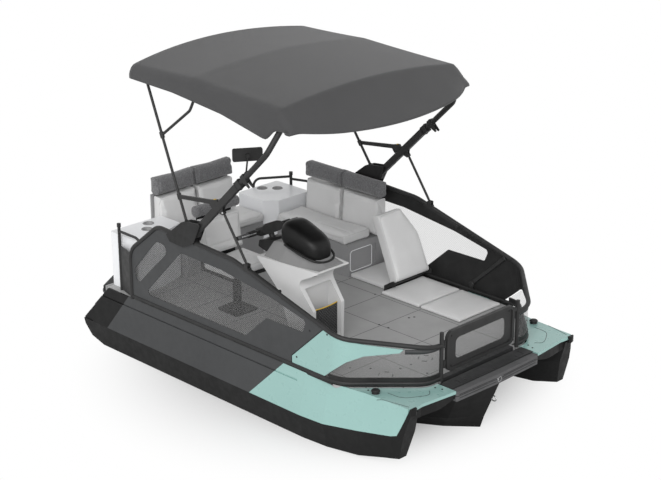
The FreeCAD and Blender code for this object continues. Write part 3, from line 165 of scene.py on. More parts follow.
def perforatedFilm(name, colour, clear, pitch, inside=1.0, swing=0.26):
    # Printed mesh film: staggered holes let the view through. Real holes are 1.6 mm apart, drawn coarser
    # to show. Its dark print faces out, so from inboard the cover counts only by the share inside.
    tree, shader, place = startMaterial(name, Base_Color=colour, Roughness=0.35)
    split = addNode(tree, "SeparateXYZ", {"Vector": place})
    across = addNode(tree, "Math", {0: split.outputs["Y"]}, operation="ABSOLUTE")
    along = addNode(tree, "Math", {0: split.outputs["X"], 1: across}, operation="SUBTRACT")
    waves = [sineWave(tree, socket, pitch) for socket in (along, split.outputs["Z"])]
    dots = addNode(tree, "Math", {0: waves[0], 1: waves[1]}, operation="MULTIPLY")
    cover = addNode(tree, "MapRange", {"Value": dots, "From Min": -0.5, "From Max": 0.7,
                                       "To Min": 1 - clear + swing, "To Max": 1 - clear - swing})
    view = addNode(tree, "NewGeometry").outputs["Incoming"]
    look = addNode(tree, "SeparateXYZ", {"Vector": view}).outputs["Y"]
    facing = addNode(tree, "Math", {0: look, 1: split.outputs["Y"]}, operation="MULTIPLY")
    inboard = addNode(tree, "Math", {0: facing, 1: 0.0}, operation="LESS_THAN")
    share = addNode(tree, "MapRange", {"Value": inboard, "To Min": 1.0, "To Max": inside})
    alpha = addNode(tree, "Math", {0: cover, 1: share}, operation="MULTIPLY")
    feed(tree, shader, {"Alpha": alpha})


def tiledDeck(name, dark, light, joint, tile, shift, seam, stud):
    # Moulded deck tiles: a grip pattern of small studs, and dark seams where tiles meet. Sizes in metres.
    tree, shader, place = startMaterial(name, Roughness=0.62)
    split = addNode(tree, "SeparateXYZ", {"Vector": place})
    lines = []
    for axis, size, start in zip("XY", tile, shift):
        moved = addNode(tree, "Math", {0: split.outputs[axis], 1: start}, operation="ADD")
        cell = addNode(tree, "Math", {0: moved, 1: size}, operation="PINGPONG")
        lines.append(addNode(tree, "Math", {0: cell, 1: seam / 2}, operation="LESS_THAN"))
    seams = addNode(tree, "Math", {0: lines[0], 1: lines[1]}, operation="MAXIMUM")
    shades = mottle(tree, shader, place, dark, light, 260)
    mix = addNode(tree, "Mix", {"Factor": seams, 6: shades, 7: linear(joint)}, data_type="RGBA")
    feed(tree, shader, {"Base Color": mix.outputs[2]})
    studs = addNode(tree, "TexVoronoi", {"Vector": place, "Scale": 1 / stud, "Randomness": 0.0})
    bump = addNode(tree, "Bump", {"Height": studs, "Strength": 0.25, "Distance": 0.001})
    feed(tree, shader, {"Normal": bump})


# Rotomoulded polyethylene: satin black with a faint pebble from the mould.
simpleFinish("rotomouldedPolyethylene", "#111111", "#161616", 0.5, 3.0, 0.25, 400, Specular_IOR_Level=0.2)
# Moulded ASA panels: even dark grey, fine haircell grain.
simpleFinish("mouldedAsaPanel", "#3A3B3C", "#3F4041", 0.5, 2.2, 0.15, 500, Specular_IOR_Level=0.25)
# Gel coat: pale teal, smooth, softly glossy.
simpleFinish("tealGelCoat", "#89ADA8", "#8DB1AC", 0.32, 6.0, 0.02, 900, Coat_Weight=0.2, Coat_Roughness=0.2)
# Aluminium tube, powder coated: dry satin black with orange peel.
simpleFinish("powderCoatedAluminium", "#242424", "#2B2B2B", 0.5, 2.5, 0.10, 120, Specular_IOR_Level=0.3)
# Injection moulded nylon: near black, textured.
simpleFinish("mouldedNylon", "#171717", "#202020", 0.5, 1.8, 0.15, 90, Specular_IOR_Level=0.3)
# Moulded step and platform: dark grey, coarse grip grain.
simpleFinish("mouldedGripPlastic", "#292A2A", "#303031", 0.6, 4.0, 0.6, 260, Specular_IOR_Level=0.25)
# Moulded rubber deck tiles.
tiledDeck("mouldedDeckTile", "#999999", "#A2A2A2", "#4C4C4C", (0.235, 0.235), (-0.2, 0.0), 0.006, 0.009)
# Marine vinyl: soft light grey with a leather-like cell grain.
simpleFinish("marineVinyl", "#CCCCCC", "#D5D5D5", 0.5, 3.5, 0.35, 300, True, 0.35)
simpleFinish("marineVinylPiping", "#C0C0C0", "#C9C9C9", 0.5, 3.5, 0.3, 300, True)
# Heather upholstery cloth: two grey yarns mixed.
weave("heatherCloth", "#525253", "#78787A", 5.0, 0.85, 0.35, 11.0)
# Gel coat on the tables: nearly white, smooth.
simpleFinish("whiteGelCoat", "#E2E3E5", "#EAEBED", 0.34, 7.0, 0.05, 600, Coat_Weight=0.2)
# Moulded seat boxes: mid grey, low gloss.
simpleFinish("lowGlossSeatBox", "#8E8E8F", "#969697", 0.5, 2.4, 0.15, 500)
# Moulded console shells: satin light grey, and a darker cover.
simpleFinish("satinMouldedShell", "#CACACA", "#D3D3D3", 0.42, 2.4, 0.12, 500)
simpleFinish("satinMouldedCover", "#7A7A7A", "#828282", 0.42, 2.4, 0.12, 500)
# Satin black cover.
simpleFinish("satinAbs", "#0B0B0B", "#0F0F0F", 0.42, 9.0, 0.02, 200, Specular_IOR_Level=0.25)
# Smoked mesh film in the side panels.
perforatedFilm("perforatedFilm", "#4A4A4A", 0.68, 17.0, 0.4)
# Clear acrylic of the bow windows and the gate.
simpleFinish("clearAcrylic", "#7E7E7E", "#888888", 0.18, 90.0, 0.02, 220, Alpha=0.16,
             Specular_IOR_Level=0.2)
# Coated canvas: charcoal, fine weave, pale sheen at a glance.
weave("coatedCanvas", "#373738", "#3B3B3C", 4.0, 0.72, 0.14, 240.0)
# Polyester net.
perforatedFilm("polyesterNet", "#101010", 0.30, 11.0)
# Cast and machined aluminium of the jet.
simpleFinish("castAluminium", "#A9ABAD", "#B7B9BB", 0.42, 2.5, 0.2, 80, Metallic=1.0)
# Extruded rubber fenders.
simpleFinish("extrudedRubber", "#4E4E4F", "#575758", 0.6, 1.6, 0.2, 150, Specular_IOR_Level=0.25)
# Painted iron block.
simpleFinish("paintedCastIron", "#4A4C4E", "#55575A", 0.5, 3.0, 0.4, 90)
# Stainless fasteners.
simpleFinish("brushedStainless", "#B9BABB", "#C6C7C8", 0.28, 1.5, 0.05, 40, Metallic=1.0)
# Yellow webbing.
simpleFinish("dyedNylonTag", "#C9A41E", "#D4AF28", 0.5, 1.2, 0.2, 30)
# Silvered glass.
simpleFinish("silveredGlass", "#C4C8CA", "#CBCFD1", 0.07, 30.0, 0.01, 60, Metallic=1.0)

finishOfNode = {
    "rotomouldedPolyethylene": ["center_hull", "sponsons", "stern_caps", "bow_fascias"],
    "mouldedAsaPanel": ["side_skins", "side_panels"], "tealGelCoat": ["bow_caps", "bow_side_panels"],
    "powderCoatedAluminium": ["rails", "rail_brackets", "stern_rails", "gate_frame", "gate_hinges",
                              "lounge_hinge", "top_arms", "top_bows", "top_brace_port", "top_brace_starboard"],
    "mouldedNylon": ["bow_window_frames", "helm_dash", "handlebar", "seat_pedestal", "seat_shell",
                     "top_fairings", "mirror"], "mouldedDeckTile": ["deck"],
    "mouldedGripPlastic": ["swim_platform", "bow_step"], "extrudedRubber": ["bow_bumper", "stern_bumpers"],
    "whiteGelCoat": ["corner_tables"], "lowGlossSeatBox": ["bench_bases"], "satinMouldedShell": ["console"],
    "satinMouldedCover": ["console_hood"], "satinAbs": ["console_pod"], "perforatedFilm": ["side_windows"],
    "clearAcrylic": ["bow_windows", "gate_window"],
    "castAluminium": ["jet_pump", "impeller", "steering_nozzle", "reverse_bucket"],
    "paintedCastIron": ["engine_block"]}

for finish, names in finishOfNode.items():
    for name in names:
        mesh = nodes[name].data
        mesh.materials.clear()
        mesh.materials.append(materials[finish])
print("materials made")


# Mesh helpers

def addPiece(name, verts, faces, finish, body, slot, smooth=True, closed=True):
    mesh = bpy.data.meshes.new(name)
    mesh.from_pydata(np.asarray(verts, float).tolist(), [], [[int(i) for i in face] for face in faces])
    if closed:
        # Doubles go, and the faces of each closed form turn outwards.
        bm = bmesh.new()
        bm.from_mesh(mesh)
        bmesh.ops.remove_doubles(bm, verts=bm.verts, dist=0.00002)
        bmesh.ops.recalc_face_normals(bm, faces=bm.faces)
        bm.to_mesh(mesh)
        bm.free()
    mesh.materials.append(materials[finish])
    mesh.polygons.foreach_set("use_smooth", [smooth] * len(mesh.polygons))
    piece = bpy.data.objects.new(name, mesh)
    bpy.context.scene.collection.objects.link(piece)
    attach(piece, body)
    return piece


def gridFaces(rows, columns, closeRows=False, closeColumns=False):
    # Quads between neighbouring points of a rows by columns grid.
    r = np.arange(rows if closeRows else rows - 1)[:, None]
    c = np.arange(columns if closeColumns else columns - 1)[None, :]
    r2, c2 = (r + 1) % rows, (c + 1) % columns
    corners = r * columns + c, r2 * columns + c, r2 * columns + c2, r * columns + c2
    return np.stack(np.broadcast_arrays(*corners), -1).reshape(-1, 4)


def tubeFaces(rows, columns, closed=False, flipped=False):
    # Quads round a tube, with a flat cap at each end unless it closes on itself.
    faces = gridFaces(rows, columns, closed, True).tolist()
    if not closed:
        faces += [list(range(columns)), list(range((rows - 1) * columns, rows * columns))[::-1]]
    return [face[::-1] for face in faces] if flipped else faces


def unit(vectors):
    return vectors / np.linalg.norm(vectors, axis=-1, keepdims=True)


def merged(parts):
    # Several vertex and face sets as one.
    verts, faces, start = [], [], 0
    for v, f in parts:
        v = np.asarray(v, float)
        verts.append(v)
        faces += [[int(i) + start for i in face] for face in f]
        start += len(v)
    return np.concatenate(verts), faces


def addParts(name, parts, finish="mouldedNylon", body="boat", slot="trim_black", smooth=True):
    # Black trim on the boat unless the call says otherwise.
    return addPiece(name, *merged(parts), finish, body, slot, smooth)


def tubeParts(path, radius, sides=12, closed=False):
    # A circle carried along a path, square to its direction at every point.
    path = np.asarray(path, float)
    if closed:
        along = np.roll(path, -1, 0) - np.roll(path, 1, 0)
    else:
        along = np.gradient(path, axis=0)
    along = unit(along)
    guide = np.where(np.abs(along[:, 2:3]) > 0.9, [[1.0, 0, 0]], [[0, 0, 1.0]])
    side = unit(np.cross(along, guide))
    up = np.cross(side, along)
    angle = np.linspace(0, 2 * np.pi, sides, endpoint=False)
    radius = np.broadcast_to(np.asarray(radius, float), len(path))[:, None, None]
    ring = side[:, None] * np.cos(angle)[None, :, None] + up[:, None] * np.sin(angle)[None, :, None]
    return (path[:, None] + ring * radius).reshape(-1, 3), tubeFaces(len(path), sides, closed)


def turnedParts(profile, centre, axis, sides=24, loop=False):
    # A profile of radius and height pairs turned about an axis through a centre; a loop makes a ring.
    axis = unit(np.asarray(axis, float))
    guide = np.array([1.0, 0, 0]) if abs(axis[0]) < 0.9 else np.array([0, 1.0, 0])
    u = unit(np.cross(axis, guide))
    w = np.cross(axis, u)
    angle = np.linspace(0, 2 * np.pi, sides, endpoint=False)
    profile = np.asarray(profile, float)
    ring = u * np.cos(angle)[:, None] + w * np.sin(angle)[:, None]
    rings = profile[:, None, :1] * ring + profile[:, None, 1:] * axis
    return (np.asarray(centre, float) + rings).reshape(-1, 3), tubeFaces(len(profile), sides, loop, True)


def sweptParts(path, outward, profile):
    # A profile of (outward, up) pairs carried along a level path, with an outward direction at each point.
    rings = [np.column_stack([path[:, :2] + outward[:, :2] * out, height + 0 * path[:, 0]])
             for out, height in profile]
    return np.stack(rings, 1).reshape(-1, 3), tubeFaces(len(path), len(profile))


def slabParts(outline, axis, low, high, bevel=0.0):
    # A flat outline, counterclockwise, drawn out along an axis with a chamfer round both faces.
    outline = np.asarray(outline, float)
    u, v = unit(outline - np.roll(outline, 1, 0)), unit(np.roll(outline, -1, 0) - outline)
    inward = np.column_stack([-u[:, 1] - v[:, 1], u[:, 0] + v[:, 0]]) / (1 + (u * v).sum(1))[:, None]
    inner = outline + inward * bevel
    rings = [(inner, low), (outline, low + bevel), (outline, high - bevel), (inner, high)]
    n = len(outline)
    verts = np.concatenate([np.column_stack([ring, np.full(n, level)]) for ring, level in rings])
    order = {"z": [0, 1, 2], "y": [0, 2, 1], "x": [2, 0, 1]}[axis]
    return verts[:, order], tubeFaces(4, n, False, axis != "y")


def roundedOutline(low, high, radius, steps=4):
    # Rectangle with quarter-circle corners, counterclockwise.
    angle = np.linspace(0, np.pi / 2, steps + 1)
    points = []
    corners = [(high[0], high[1], 0), (low[0], high[1], 1), (low[0], low[1], 2), (high[0], low[1], 3)]
    for cx, cy, quarter in corners:
        sx, sy = (1 if cx == high[0] else -1), (1 if cy == high[1] else -1)
        turn = angle + quarter * np.pi / 2
        points.append(np.column_stack([cx - sx * radius + radius * np.cos(turn),
                                       cy - sy * radius + radius * np.sin(turn)]))
    return np.concatenate(points)


# Cushions: the CAD solid is remeshed, blown up a little by the cloth solver and capped.

def looseParts(name):
    # The separate solids of a CAD node, merged and counted by connection.
    bm = bmesh.new()
    bm.from_mesh(nodes[name].data)
    bmesh.ops.remove_doubles(bm, verts=bm.verts, dist=0.0002)
    left = set(bm.verts)
    groups = []
    while left:
        stack, group = [left.pop()], []
        while stack:
            vert = stack.pop()
            group.append(vert)
            for edge in vert.link_edges:
                other = edge.other_vert(vert)
                if other in left:
                    left.discard(other)
                    stack.append(other)
        groups.append(group)
    parts = []
    for group in groups:
        index = {vert: i for i, vert in enumerate(group)}
        faces = [[index[v] for v in face.verts] for face in bm.faces if face.verts[0] in index]
        parts.append((np.array([v.co for v in group]), faces))
    bm.free()
    parts.sort(key=lambda part: tuple(np.round(part[0].mean(0), 3)))
    return parts


def bakedMesh(piece):
    graph = bpy.context.evaluated_depsgraph_get()
    return bpy.data.meshes.new_from_object(piece.evaluated_get(graph))


def applyModifiers(piece):
    piece.data = bakedMesh(piece)
    piece.modifiers.clear()


def vertexData(mesh, kind="co"):
    values = np.empty(len(mesh.vertices) * 3)
    mesh.vertices.foreach_get(kind, values)
    return values.reshape(-1, 3)


def setCoordinates(mesh, co):
    mesh.vertices.foreach_set("co", co.ravel())
    mesh.update()


# Each cushion's node and body, the most it may swell, how far it is shrunk first, whether its base stays
# flat, and its welts (side, inset) and channels (side, start, end as shares of the side).
cushionFacts = {
    "helmSeatCushion": dict(node="seat_cushion", body="helm_seat", cap=0.016, shrink=0.006, flat=True,
                            welts=[("z+", 0.03)],
                            lines=[("z+", (0.12, 0.2), (0.75, 0.2)), ("z+", (0.12, 0.8), (0.75, 0.8))]),
    "helmSeatBack": dict(node="seat_back", body="helm_seat", cap=0.014, shrink=0.006,
                         welts=[("x+", 0.03)], lines=[("x+", (0.12, 0.3), (0.88, 0.3))]),
    "helmHeadrest": dict(node="seat_headrest", body="helm_seat", cap=0.010, shrink=0.005, cloth=True,
                         lines=[("x+", (0.1, 0.05), (0.1, 0.95)), ("x+", (0.9, 0.05), (0.9, 0.95))]),
    "benchCushion": dict(node="bench_cushions", body="boat", cap=0.016, shrink=0.006, flat=True,
                         welts=[("z+", 0.02)]),
    "benchBack": dict(node="bench_backs", body="boat", cap=0.014, shrink=0.007),
    "benchBand": dict(node="bench_bands", body="boat", cap=0.010, shrink=0.006, cloth=True),
    "loungePad": dict(node="lounge_pads", body="boat", cap=0.008, shrink=0.004, flat=True),
    "loungeBackrest": dict(node="lounge_backrest", body="lounge_backrest", cap=0.012, shrink=0.006,
                           welts=[("x+", 0.022)])}
swellFacts = dict(voxel=0.011, pressure=4.0, frames=20)


def startCushions():
    started = []
    for name, facts in cushionFacts.items():
        parts = looseParts(facts["node"])
        finish, slot = ("heatherCloth", "band_cloth") if facts.get("cloth") else ("marineVinyl", "vinyl_grey")
        for i, (verts, faces) in enumerate(parts):
            label = name if len(parts) == 1 else f"{name}{i + 1}"
            piece = addPiece(label, verts, faces, finish, facts["body"], slot)
            remesh = piece.modifiers.new("remesh", "REMESH")
            remesh.mode, remesh.voxel_size, remesh.use_smooth_shade = "VOXEL", swellFacts["voxel"], True
            applyModifiers(piece)
            co = vertexData(piece.data) - vertexData(piece.data, "normal") * facts["shrink"]
            setCoordinates(piece.data, co)
            started.append((piece, facts, co, verts.min(0), verts.max(0)))
            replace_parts(piece, facts["node"])
    return started


def blowUp(started):
    # All pieces swell together under pressure, with no gravity, and none moves further than its cap.
    frames = swellFacts["frames"]
    for piece, *_ in started:
        cloth = piece.modifiers.new("cloth", "CLOTH")
        cloth.settings.use_pressure = True
        cloth.settings.uniform_pressure_force = swellFacts["pressure"]
        cloth.settings.effector_weights.gravity = 0.0
        cloth.point_cache.frame_start, cloth.point_cache.frame_end = 1, frames
    scene = bpy.context.scene
    scene.frame_start, scene.frame_end = 1, frames
    for step in range(1, frames + 1):
        scene.frame_set(step)
    for piece, facts, co, *_ in started:
        moved = vertexData(bakedMesh(piece)) - co
        length = np.linalg.norm(moved, axis=1)[:, None]
        moved *= np.minimum(1, facts["cap"] / np.maximum(length, 1e-9))
        piece.modifiers.clear()
        setCoordinates(piece.data, co + moved)
    scene.frame_set(1)


def evenPath(points, step, closed=False):
    # The same line with points at even spacing.
    points = np.asarray(points, float)
    if closed:
        points = np.concatenate([points, points[:1]])
    run = np.concatenate([[0], np.cumsum(np.linalg.norm(np.diff(points, axis=0), axis=1))])
    count = max(int(run[-1] / step), 4)
    at = np.linspace(0, run[-1], count + 1)
    even = np.column_stack([np.interp(at, run, column) for column in points.T])
    return even[:-1] if closed else even


def smoothPath(points, count=12):
    # Catmull-Rom curve through the points.
    p = np.asarray(points, float)
    p = np.concatenate([[2 * p[0] - p[1]], p, [2 * p[-1] - p[-2]]])
    t = np.linspace(0, 1, count, endpoint=False)[None, :, None]
    a, b, c, d = (p[i:len(p) - 3 + i][:, None] for i in range(4))
    curve = 2 * b + (c - a) * t + (2 * a - 5 * b + 4 * c - d) * t ** 2 + (3 * b - a - 3 * c + d) * t ** 3
    return np.concatenate([curve.reshape(-1, 3) / 2, p[-2:-1]])


def treeOf(meshes):
    bm = bmesh.new()
    for mesh in meshes:
        bm.from_mesh(mesh)
    tree = BVHTree.FromBMesh(bm)
    bm.free()
    return tree


def laid(tree, points, direction, back=0.25, reach=0.6):
    # Points carried along a direction onto a surface, with the surface normals; misses are left out.
    step = Vector(direction).normalized()
    found = [tree.ray_cast(Vector(point) - step * back, step, reach) for point in points]
    found = [hit for hit in found if hit[0] is not None]
    return np.array([hit[0] for hit in found]), np.array([hit[1] for hit in found])


sewFacts = dict(spacing=0.014, corner=0.035, width=0.010, weltDepth=0.003, channelDepth=0.006,
                weltRadius=0.0032, weltSink=0.0015)


def boxSide(low, high, face):
    # The axis that a side of a box is square to, the two other axes, and the side's level.
    axis = "xyz".index(face[0])
    return axis, [k for k in range(3) if k != axis], (high if face[1] == "+" else low)[axis]


def faceLoop(low, high, face, inset):
    # A rounded rectangle on one side of a box, inset from its edges.
    axis, others, level = boxSide(low, high, face)
    outline = roundedOutline(low[others] + inset, high[others] - inset, sewFacts["corner"], 8)
    points = np.empty((len(outline), 3))
    points[:, others], points[:, axis] = outline, level
    return evenPath(points, sewFacts["spacing"], True)


def faceLine(low, high, face, start, end):
    # A straight line on one side of a box, ends as shares of its two widths.
    axis, others, level = boxSide(low, high, face)
    points = np.empty((2, 3))
    points[:, others], points[:, axis] = low[others] + (high - low)[others] * [start, end], level
    return evenPath(points, sewFacts["spacing"])


def inwards(face):
    direction = np.zeros(3)
    direction["xyz".index(face[0])] = -1 if face[1] == "+" else 1
    return direction


def sewChannel(piece, path, depth, width):
    # Draws the surface in along a seam: depth falls off with the square of the distance.
    co = vertexData(piece.data)
    near = np.full(len(co), 1e9)
    for chunk in np.array_split(path, max(1, len(path) // 40)):
        near = np.minimum(near, np.linalg.norm(co[:, None] - chunk[None], axis=2).min(1))
    dent = (depth * np.exp(-(near / width) ** 2))[:, None]
    setCoordinates(piece.data, co - vertexData(piece.data, "normal") * dent)


benchFacts = dict(portFrom=0.54, sternTo=-1.25, inset=0.02)


def seamsOf(facts, low, high):
    # Bench pieces face inboard along the port side and forward across the stern.
    welts, lines = list(facts.get("welts", [])), list(facts.get("lines", []))
    port = low[1] > benchFacts["portFrom"] and high[0] > benchFacts["sternTo"]
    face = "y-" if port else "x+"
    if facts["node"] == "bench_backs":
        welts.append((face, benchFacts["inset"]))
    if facts["node"] == "bench_bands":
        lines += [(face, (0.06, 0.04), (0.06, 0.96)), (face, (0.94, 0.04), (0.94, 0.96))]
    if facts["node"] == "bench_cushions":
        lines += [("z+", (0.02, 0.3), (0.98, 0.3)), ("z+", (0.5, 0.3), (0.5, 0.97))] if port else [
            ("z+", (0.7, 0.02), (0.7, 0.98)), ("z+", (0.03, 0.5), (0.7, 0.5))]
    return welts, lines


def sewCushion(piece, facts, low, high):
    # Loops get a raised welt in a channel, lines only a channel.
    f = sewFacts
    tubes = []
    welts, lines = seamsOf(facts, low, high)
    for face, inset in welts:
        path, normals = laid(treeOf([piece.data]), faceLoop(low, high, face, inset), inwards(face))
        if len(path) > 8:
            sewChannel(piece, path, f["weltDepth"], f["width"])
            tubes.append(tubeParts(path - normals * f["weltSink"], f["weltRadius"], 8, True))
    for face, start, end in lines:
        path, normals = laid(treeOf([piece.data]), faceLine(low, high, face, start, end), inwards(face))
        if len(path) > 3:
            sewChannel(piece, path, f["channelDepth"], f["width"])
    return tubes


def finishCushions(started):
    piping = {}
    for piece, facts, _, low, high in started:
        piece.modifiers.new("smooth", "SMOOTH").iterations = 3
        fine = piece.modifiers.new("subdivide", "SUBSURF")
        fine.levels = fine.render_levels = 1
        applyModifiers(piece)
        points = vertexData(piece.data)
        if facts.get("flat"):
            points[:, 2] = np.maximum(points[:, 2], low[2])
        piece.data.polygons.foreach_set("use_smooth", [True] * len(piece.data.polygons))
        setCoordinates(piece.data, points)
        piping.setdefault(facts["node"], []).extend(sewCushion(piece, facts, low, high))
    for facts in cushionFacts.values():
        tubes = piping[facts["node"]]
        if tubes:
            addParts(facts["node"] + "_piping", tubes, "marineVinylPiping", facts["body"], "vinyl_grey")


# Canopy

canopyFacts = dict(half=1.045, crown=8.0, rearX=-1.258, rearBulge=0.078, midX=-0.5, creaseX=0.55, rearZ=2.7265,
                   midZ=2.740, creaseZ=2.688, frontX=0.783, frontBulge=0.142, frontZ=2.452, frontDip=0.055,
                   corner=0.15, cornerFrom=0.55, edge=0.085, sag=0.010, edgeSag=0.4, thickness=0.003,
                   stops=(0, 0.33, 0.72, 1), flat=0.86, roundShare=0.35, rows=90, columns=111,
                   seamRows=(30, 64), seamColumns=(8, 102), seamRadius=0.0028, hemRadius=0.005,
                   hem=[(-1.282, 2.545), (-0.7, 2.525), (-0.1, 2.462), (0.395, 2.362), (0.43, 2.366),
                   (0.52, 2.452), (0.64, 2.462), (0.785, 2.452)])


def canopySurface(f):
    # Height is a crowned arc across a line that rises to the mid bow and falls to the crease and the front hem;
    # near each side the cloth turns down through a quarter round into a flat skirt that ends on the hem line.
    wide = np.abs(np.linspace(-1, 1, f["columns"]))[None, :]
    u = np.linspace(0, 1, f["rows"])[:, None]
    s = np.clip(wide / f["flat"], 0, 1)
    down = np.clip((wide - f["flat"]) / (1 - f["flat"]), 0, 1)
    arch = 1 - s ** 2
    xs = [f["rearX"] - f["rearBulge"] * arch, f["midX"] + 0 * arch, f["creaseX"] + 0 * arch,
          f["frontX"] + f["frontBulge"] * arch]
    drop = f["crown"] - np.sqrt(f["crown"] ** 2 - (s * f["half"]) ** 2)
    zs = [f["rearZ"] - drop, f["midZ"] - drop, f["creaseZ"] - drop, f["frontZ"] - f["frontDip"] * arch]
    x, z = np.zeros((2, f["rows"], f["columns"]))
    for i, (start, end) in enumerate(zip(f["stops"], f["stops"][1:])):
        t = np.clip((u - start) / (end - start), 0, 1)
        sag = f["sag"] * 4 * t * (1 - t) * (f["edgeSag"] + (1 - f["edgeSag"]) * arch)
        x = np.where(u >= start, xs[i] + (xs[i + 1] - xs[i]) * t, x)
        z = np.where(u >= start, zs[i] + (zs[i + 1] - zs[i]) * t - sag, z)
    # From the crease on, t is the share of the way to the front hem, and the corners draw back with it.
    x = x - f["corner"] * t ** 2 * np.clip((wide - f["cornerFrom"]) / (1 - f["cornerFrom"]), 0, 1) ** 2
    depth = np.maximum(z - np.interp(x[:, :1], *np.array(f["hem"]).T), 0.01)
    reach = np.minimum(depth, f["edge"])
    turn = np.clip(down / f["roundShare"], 0, 1) * np.pi / 2
    fall = np.clip((down - f["roundShare"]) / (1 - f["roundShare"]), 0, 1)
    inner = f["half"] - f["edge"]
    side = np.sign(np.linspace(-1, 1, f["columns"]))[None, :]
    y = side * np.where(down > 0, inner + f["edge"] * np.sin(turn), s * inner)
    z = z - (reach * (1 - np.cos(turn)) + (depth - reach) * fall)
    return np.stack(np.broadcast_arrays(x, y, z), -1)


def addSheet(name, surface, thickness, offset, finish, body, slot):
    # A grid of points as one sheet of cloth, with a wall on one side of it or about its middle.
    faces = gridFaces(*surface.shape[:2])[:, ::-1]
    piece = addPiece(name, surface.reshape(-1, 3), faces, finish, body, slot, closed=False)
    wall = piece.modifiers.new("wall", "SOLIDIFY")
    wall.thickness, wall.offset = thickness, offset
    applyModifiers(piece)
    return piece


def makeCanopy():
    f = canopyFacts
    surface = canopySurface(f)
    piece = addSheet("canopyCloth", surface, f["thickness"], -1.0, "coatedCanvas", "folding_top", "top_cloth")
    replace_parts(piece, "canopy")
    seams = [surface[row] for row in f["seamRows"]] + [surface[:, column] for column in f["seamColumns"]]
    hem = np.concatenate([surface[:, 0], surface[-1, 1:-1], surface[::-1, -1], surface[0, -2:0:-1]])
    tubes = [tubeParts(evenPath(line, 0.03), f["seamRadius"], 6) for line in seams]
    tubes.append(tubeParts(evenPath(hem, 0.03, True), f["hemRadius"], 8, True))
    trim = addParts("canopySeams", tubes, "coatedCanvas", "folding_top", "top_cloth")


# Helm details

podFacts = dict(x=0.408, y=-0.600, z=1.398, long=0.205, half=0.138, up=0.122, down=0.09, slope=0.052,
                square=3.6, box=0.62, ends=0.97, narrows=0.13, lowers=0.12, rows=44, columns=56,
                barRadius=0.010, bar=[(0.30, 0.152, 1.385), (0.47, 0.150, 1.345), (0.590, 0.120, 1.312),
                (0.640, 0.050, 1.292)])


def makePod():
    # Superellipse egg: stations taper as (1 - |s|^n)^(1/n), and the axis falls towards the bow.
    f = podFacts
    s = np.sin(np.linspace(-f["ends"], f["ends"], f["rows"]) * np.pi / 2)[:, None]
    t = np.linspace(0, 2 * np.pi, f["columns"], endpoint=False)[None, :]
    taper = (1 - np.abs(s) ** f["square"]) ** (1 / f["square"])
    c, d = np.cos(t), np.sin(t)
    x = f["x"] + f["long"] * s + 0 * t
    y = f["y"] + f["half"] * taper * (1 - f["narrows"] * s) * np.sign(c) * np.abs(c) ** f["box"]
    reach = np.where(d > 0, f["up"] * (1 - f["lowers"] * s), f["down"])
    z = f["z"] - f["slope"] * s + taper * reach * np.sign(d) * np.abs(d) ** f["box"]
    verts = np.stack([x, y, z], -1).reshape(-1, 3)
    faces = tubeFaces(f["rows"], f["columns"], False, True)
    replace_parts(addPiece("podShell", verts, faces, "satinAbs", "boat", "pod_black"), "console_pod")
    line = [(x, f["y"] - y, z) for x, y, z in f["bar"]] + [(x, f["y"] + y, z) for x, y, z in f["bar"][::-1]]
    addParts("podGrabBar", [tubeParts(smoothPath(line), f["barRadius"])])


handleFacts = dict(column=(-0.04, -0.6, 1.4), tilt=25, leverRadius=0.0055, gripRadius=0.0186,
                   lever=[(0.006, 0.165, 0.016), (0.004, 0.200, 0.026), (0.002, 0.260, 0.022),
                   (0.0, 0.315, 0.012)], grip=[(0.0, 0.232, -0.0134), (0.0, 0.335, -0.0300)], ridge=0.0010,
                   ridges=30)


def steeringPoints(facts, points, side):
    # From depth below the handlebar along its raked axis, distance aside, and distance ahead of the axis.
    tilt = math.radians(facts["tilt"])
    depth, aside, ahead = np.array(points).T
    x, y, z = facts["column"]
    return np.column_stack([x + depth * math.sin(tilt) + ahead * math.cos(tilt), y + side * aside,
                            z - depth * math.cos(tilt) + ahead * math.sin(tilt)])


def makeHandleParts():
    f = handleFacts
    share = np.linspace(0, 1, 60)
    radius = f["gripRadius"] + f["ridge"] * np.sin(share * 2 * f["ridges"] * np.pi)
    levers, grips = [], []
    for side in (-1, 1):
        levers.append(tubeParts(smoothPath(steeringPoints(f, f["lever"], side)), f["leverRadius"], 8))
        start, end = steeringPoints(f, f["grip"], side)
        grips.append(tubeParts(start + (end - start) * share[:, None], radius, 16))
    addParts("handleLevers", levers, "brushedStainless", "handlebar", "trim_black")
    addParts("handleGrips", grips, "extrudedRubber", "handlebar", "trim_black")


netFacts = dict(x=0.6065, y=-0.6, half=0.1435, low=0.602, high=0.889, bulge=0.006, dip=0.011, thickness=0.0014,
                points=25, edgeRadius=0.0045, cordRadius=0.0017, cordMiddle=0.745, cordHalf=0.14,
                cordLift=0.0012, cordShifts=(-0.26, 0.27, 0.026), cordEnds=0.98, cordPoints=40, cordCut=0.9)


def netSurface(f):
    # A taut sheet that bulges forward as bulge (1 - u^2)(1 - v^2), with its top edge dipping in the middle.
    v = np.linspace(-1, 1, f["points"])[None, :]
    u = v.T
    x = f["x"] + f["bulge"] * (1 - u ** 2) * (1 - v ** 2)
    y = f["y"] + f["half"] * v + 0 * u
    top = f["high"] - f["dip"] * (1 - v ** 2)
    return np.stack([x, y, f["low"] + (top - f["low"]) * (u + 1) / 2], -1)


def netCord(f, sign, shift):
    # One diagonal cord just ahead of the sheet, cut off near the top and the bottom.
    v = np.linspace(-f["cordEnds"], f["cordEnds"], f["cordPoints"])
    u = (shift + sign * v * f["cordHalf"]) / f["cordHalf"]
    line = np.column_stack([f["x"] + f["cordLift"] + f["bulge"] * (1 - u ** 2) * (1 - v ** 2),
                            f["y"] + f["half"] * v, f["cordMiddle"] + f["cordHalf"] * u])
    return line[np.abs(u) < f["cordCut"]]


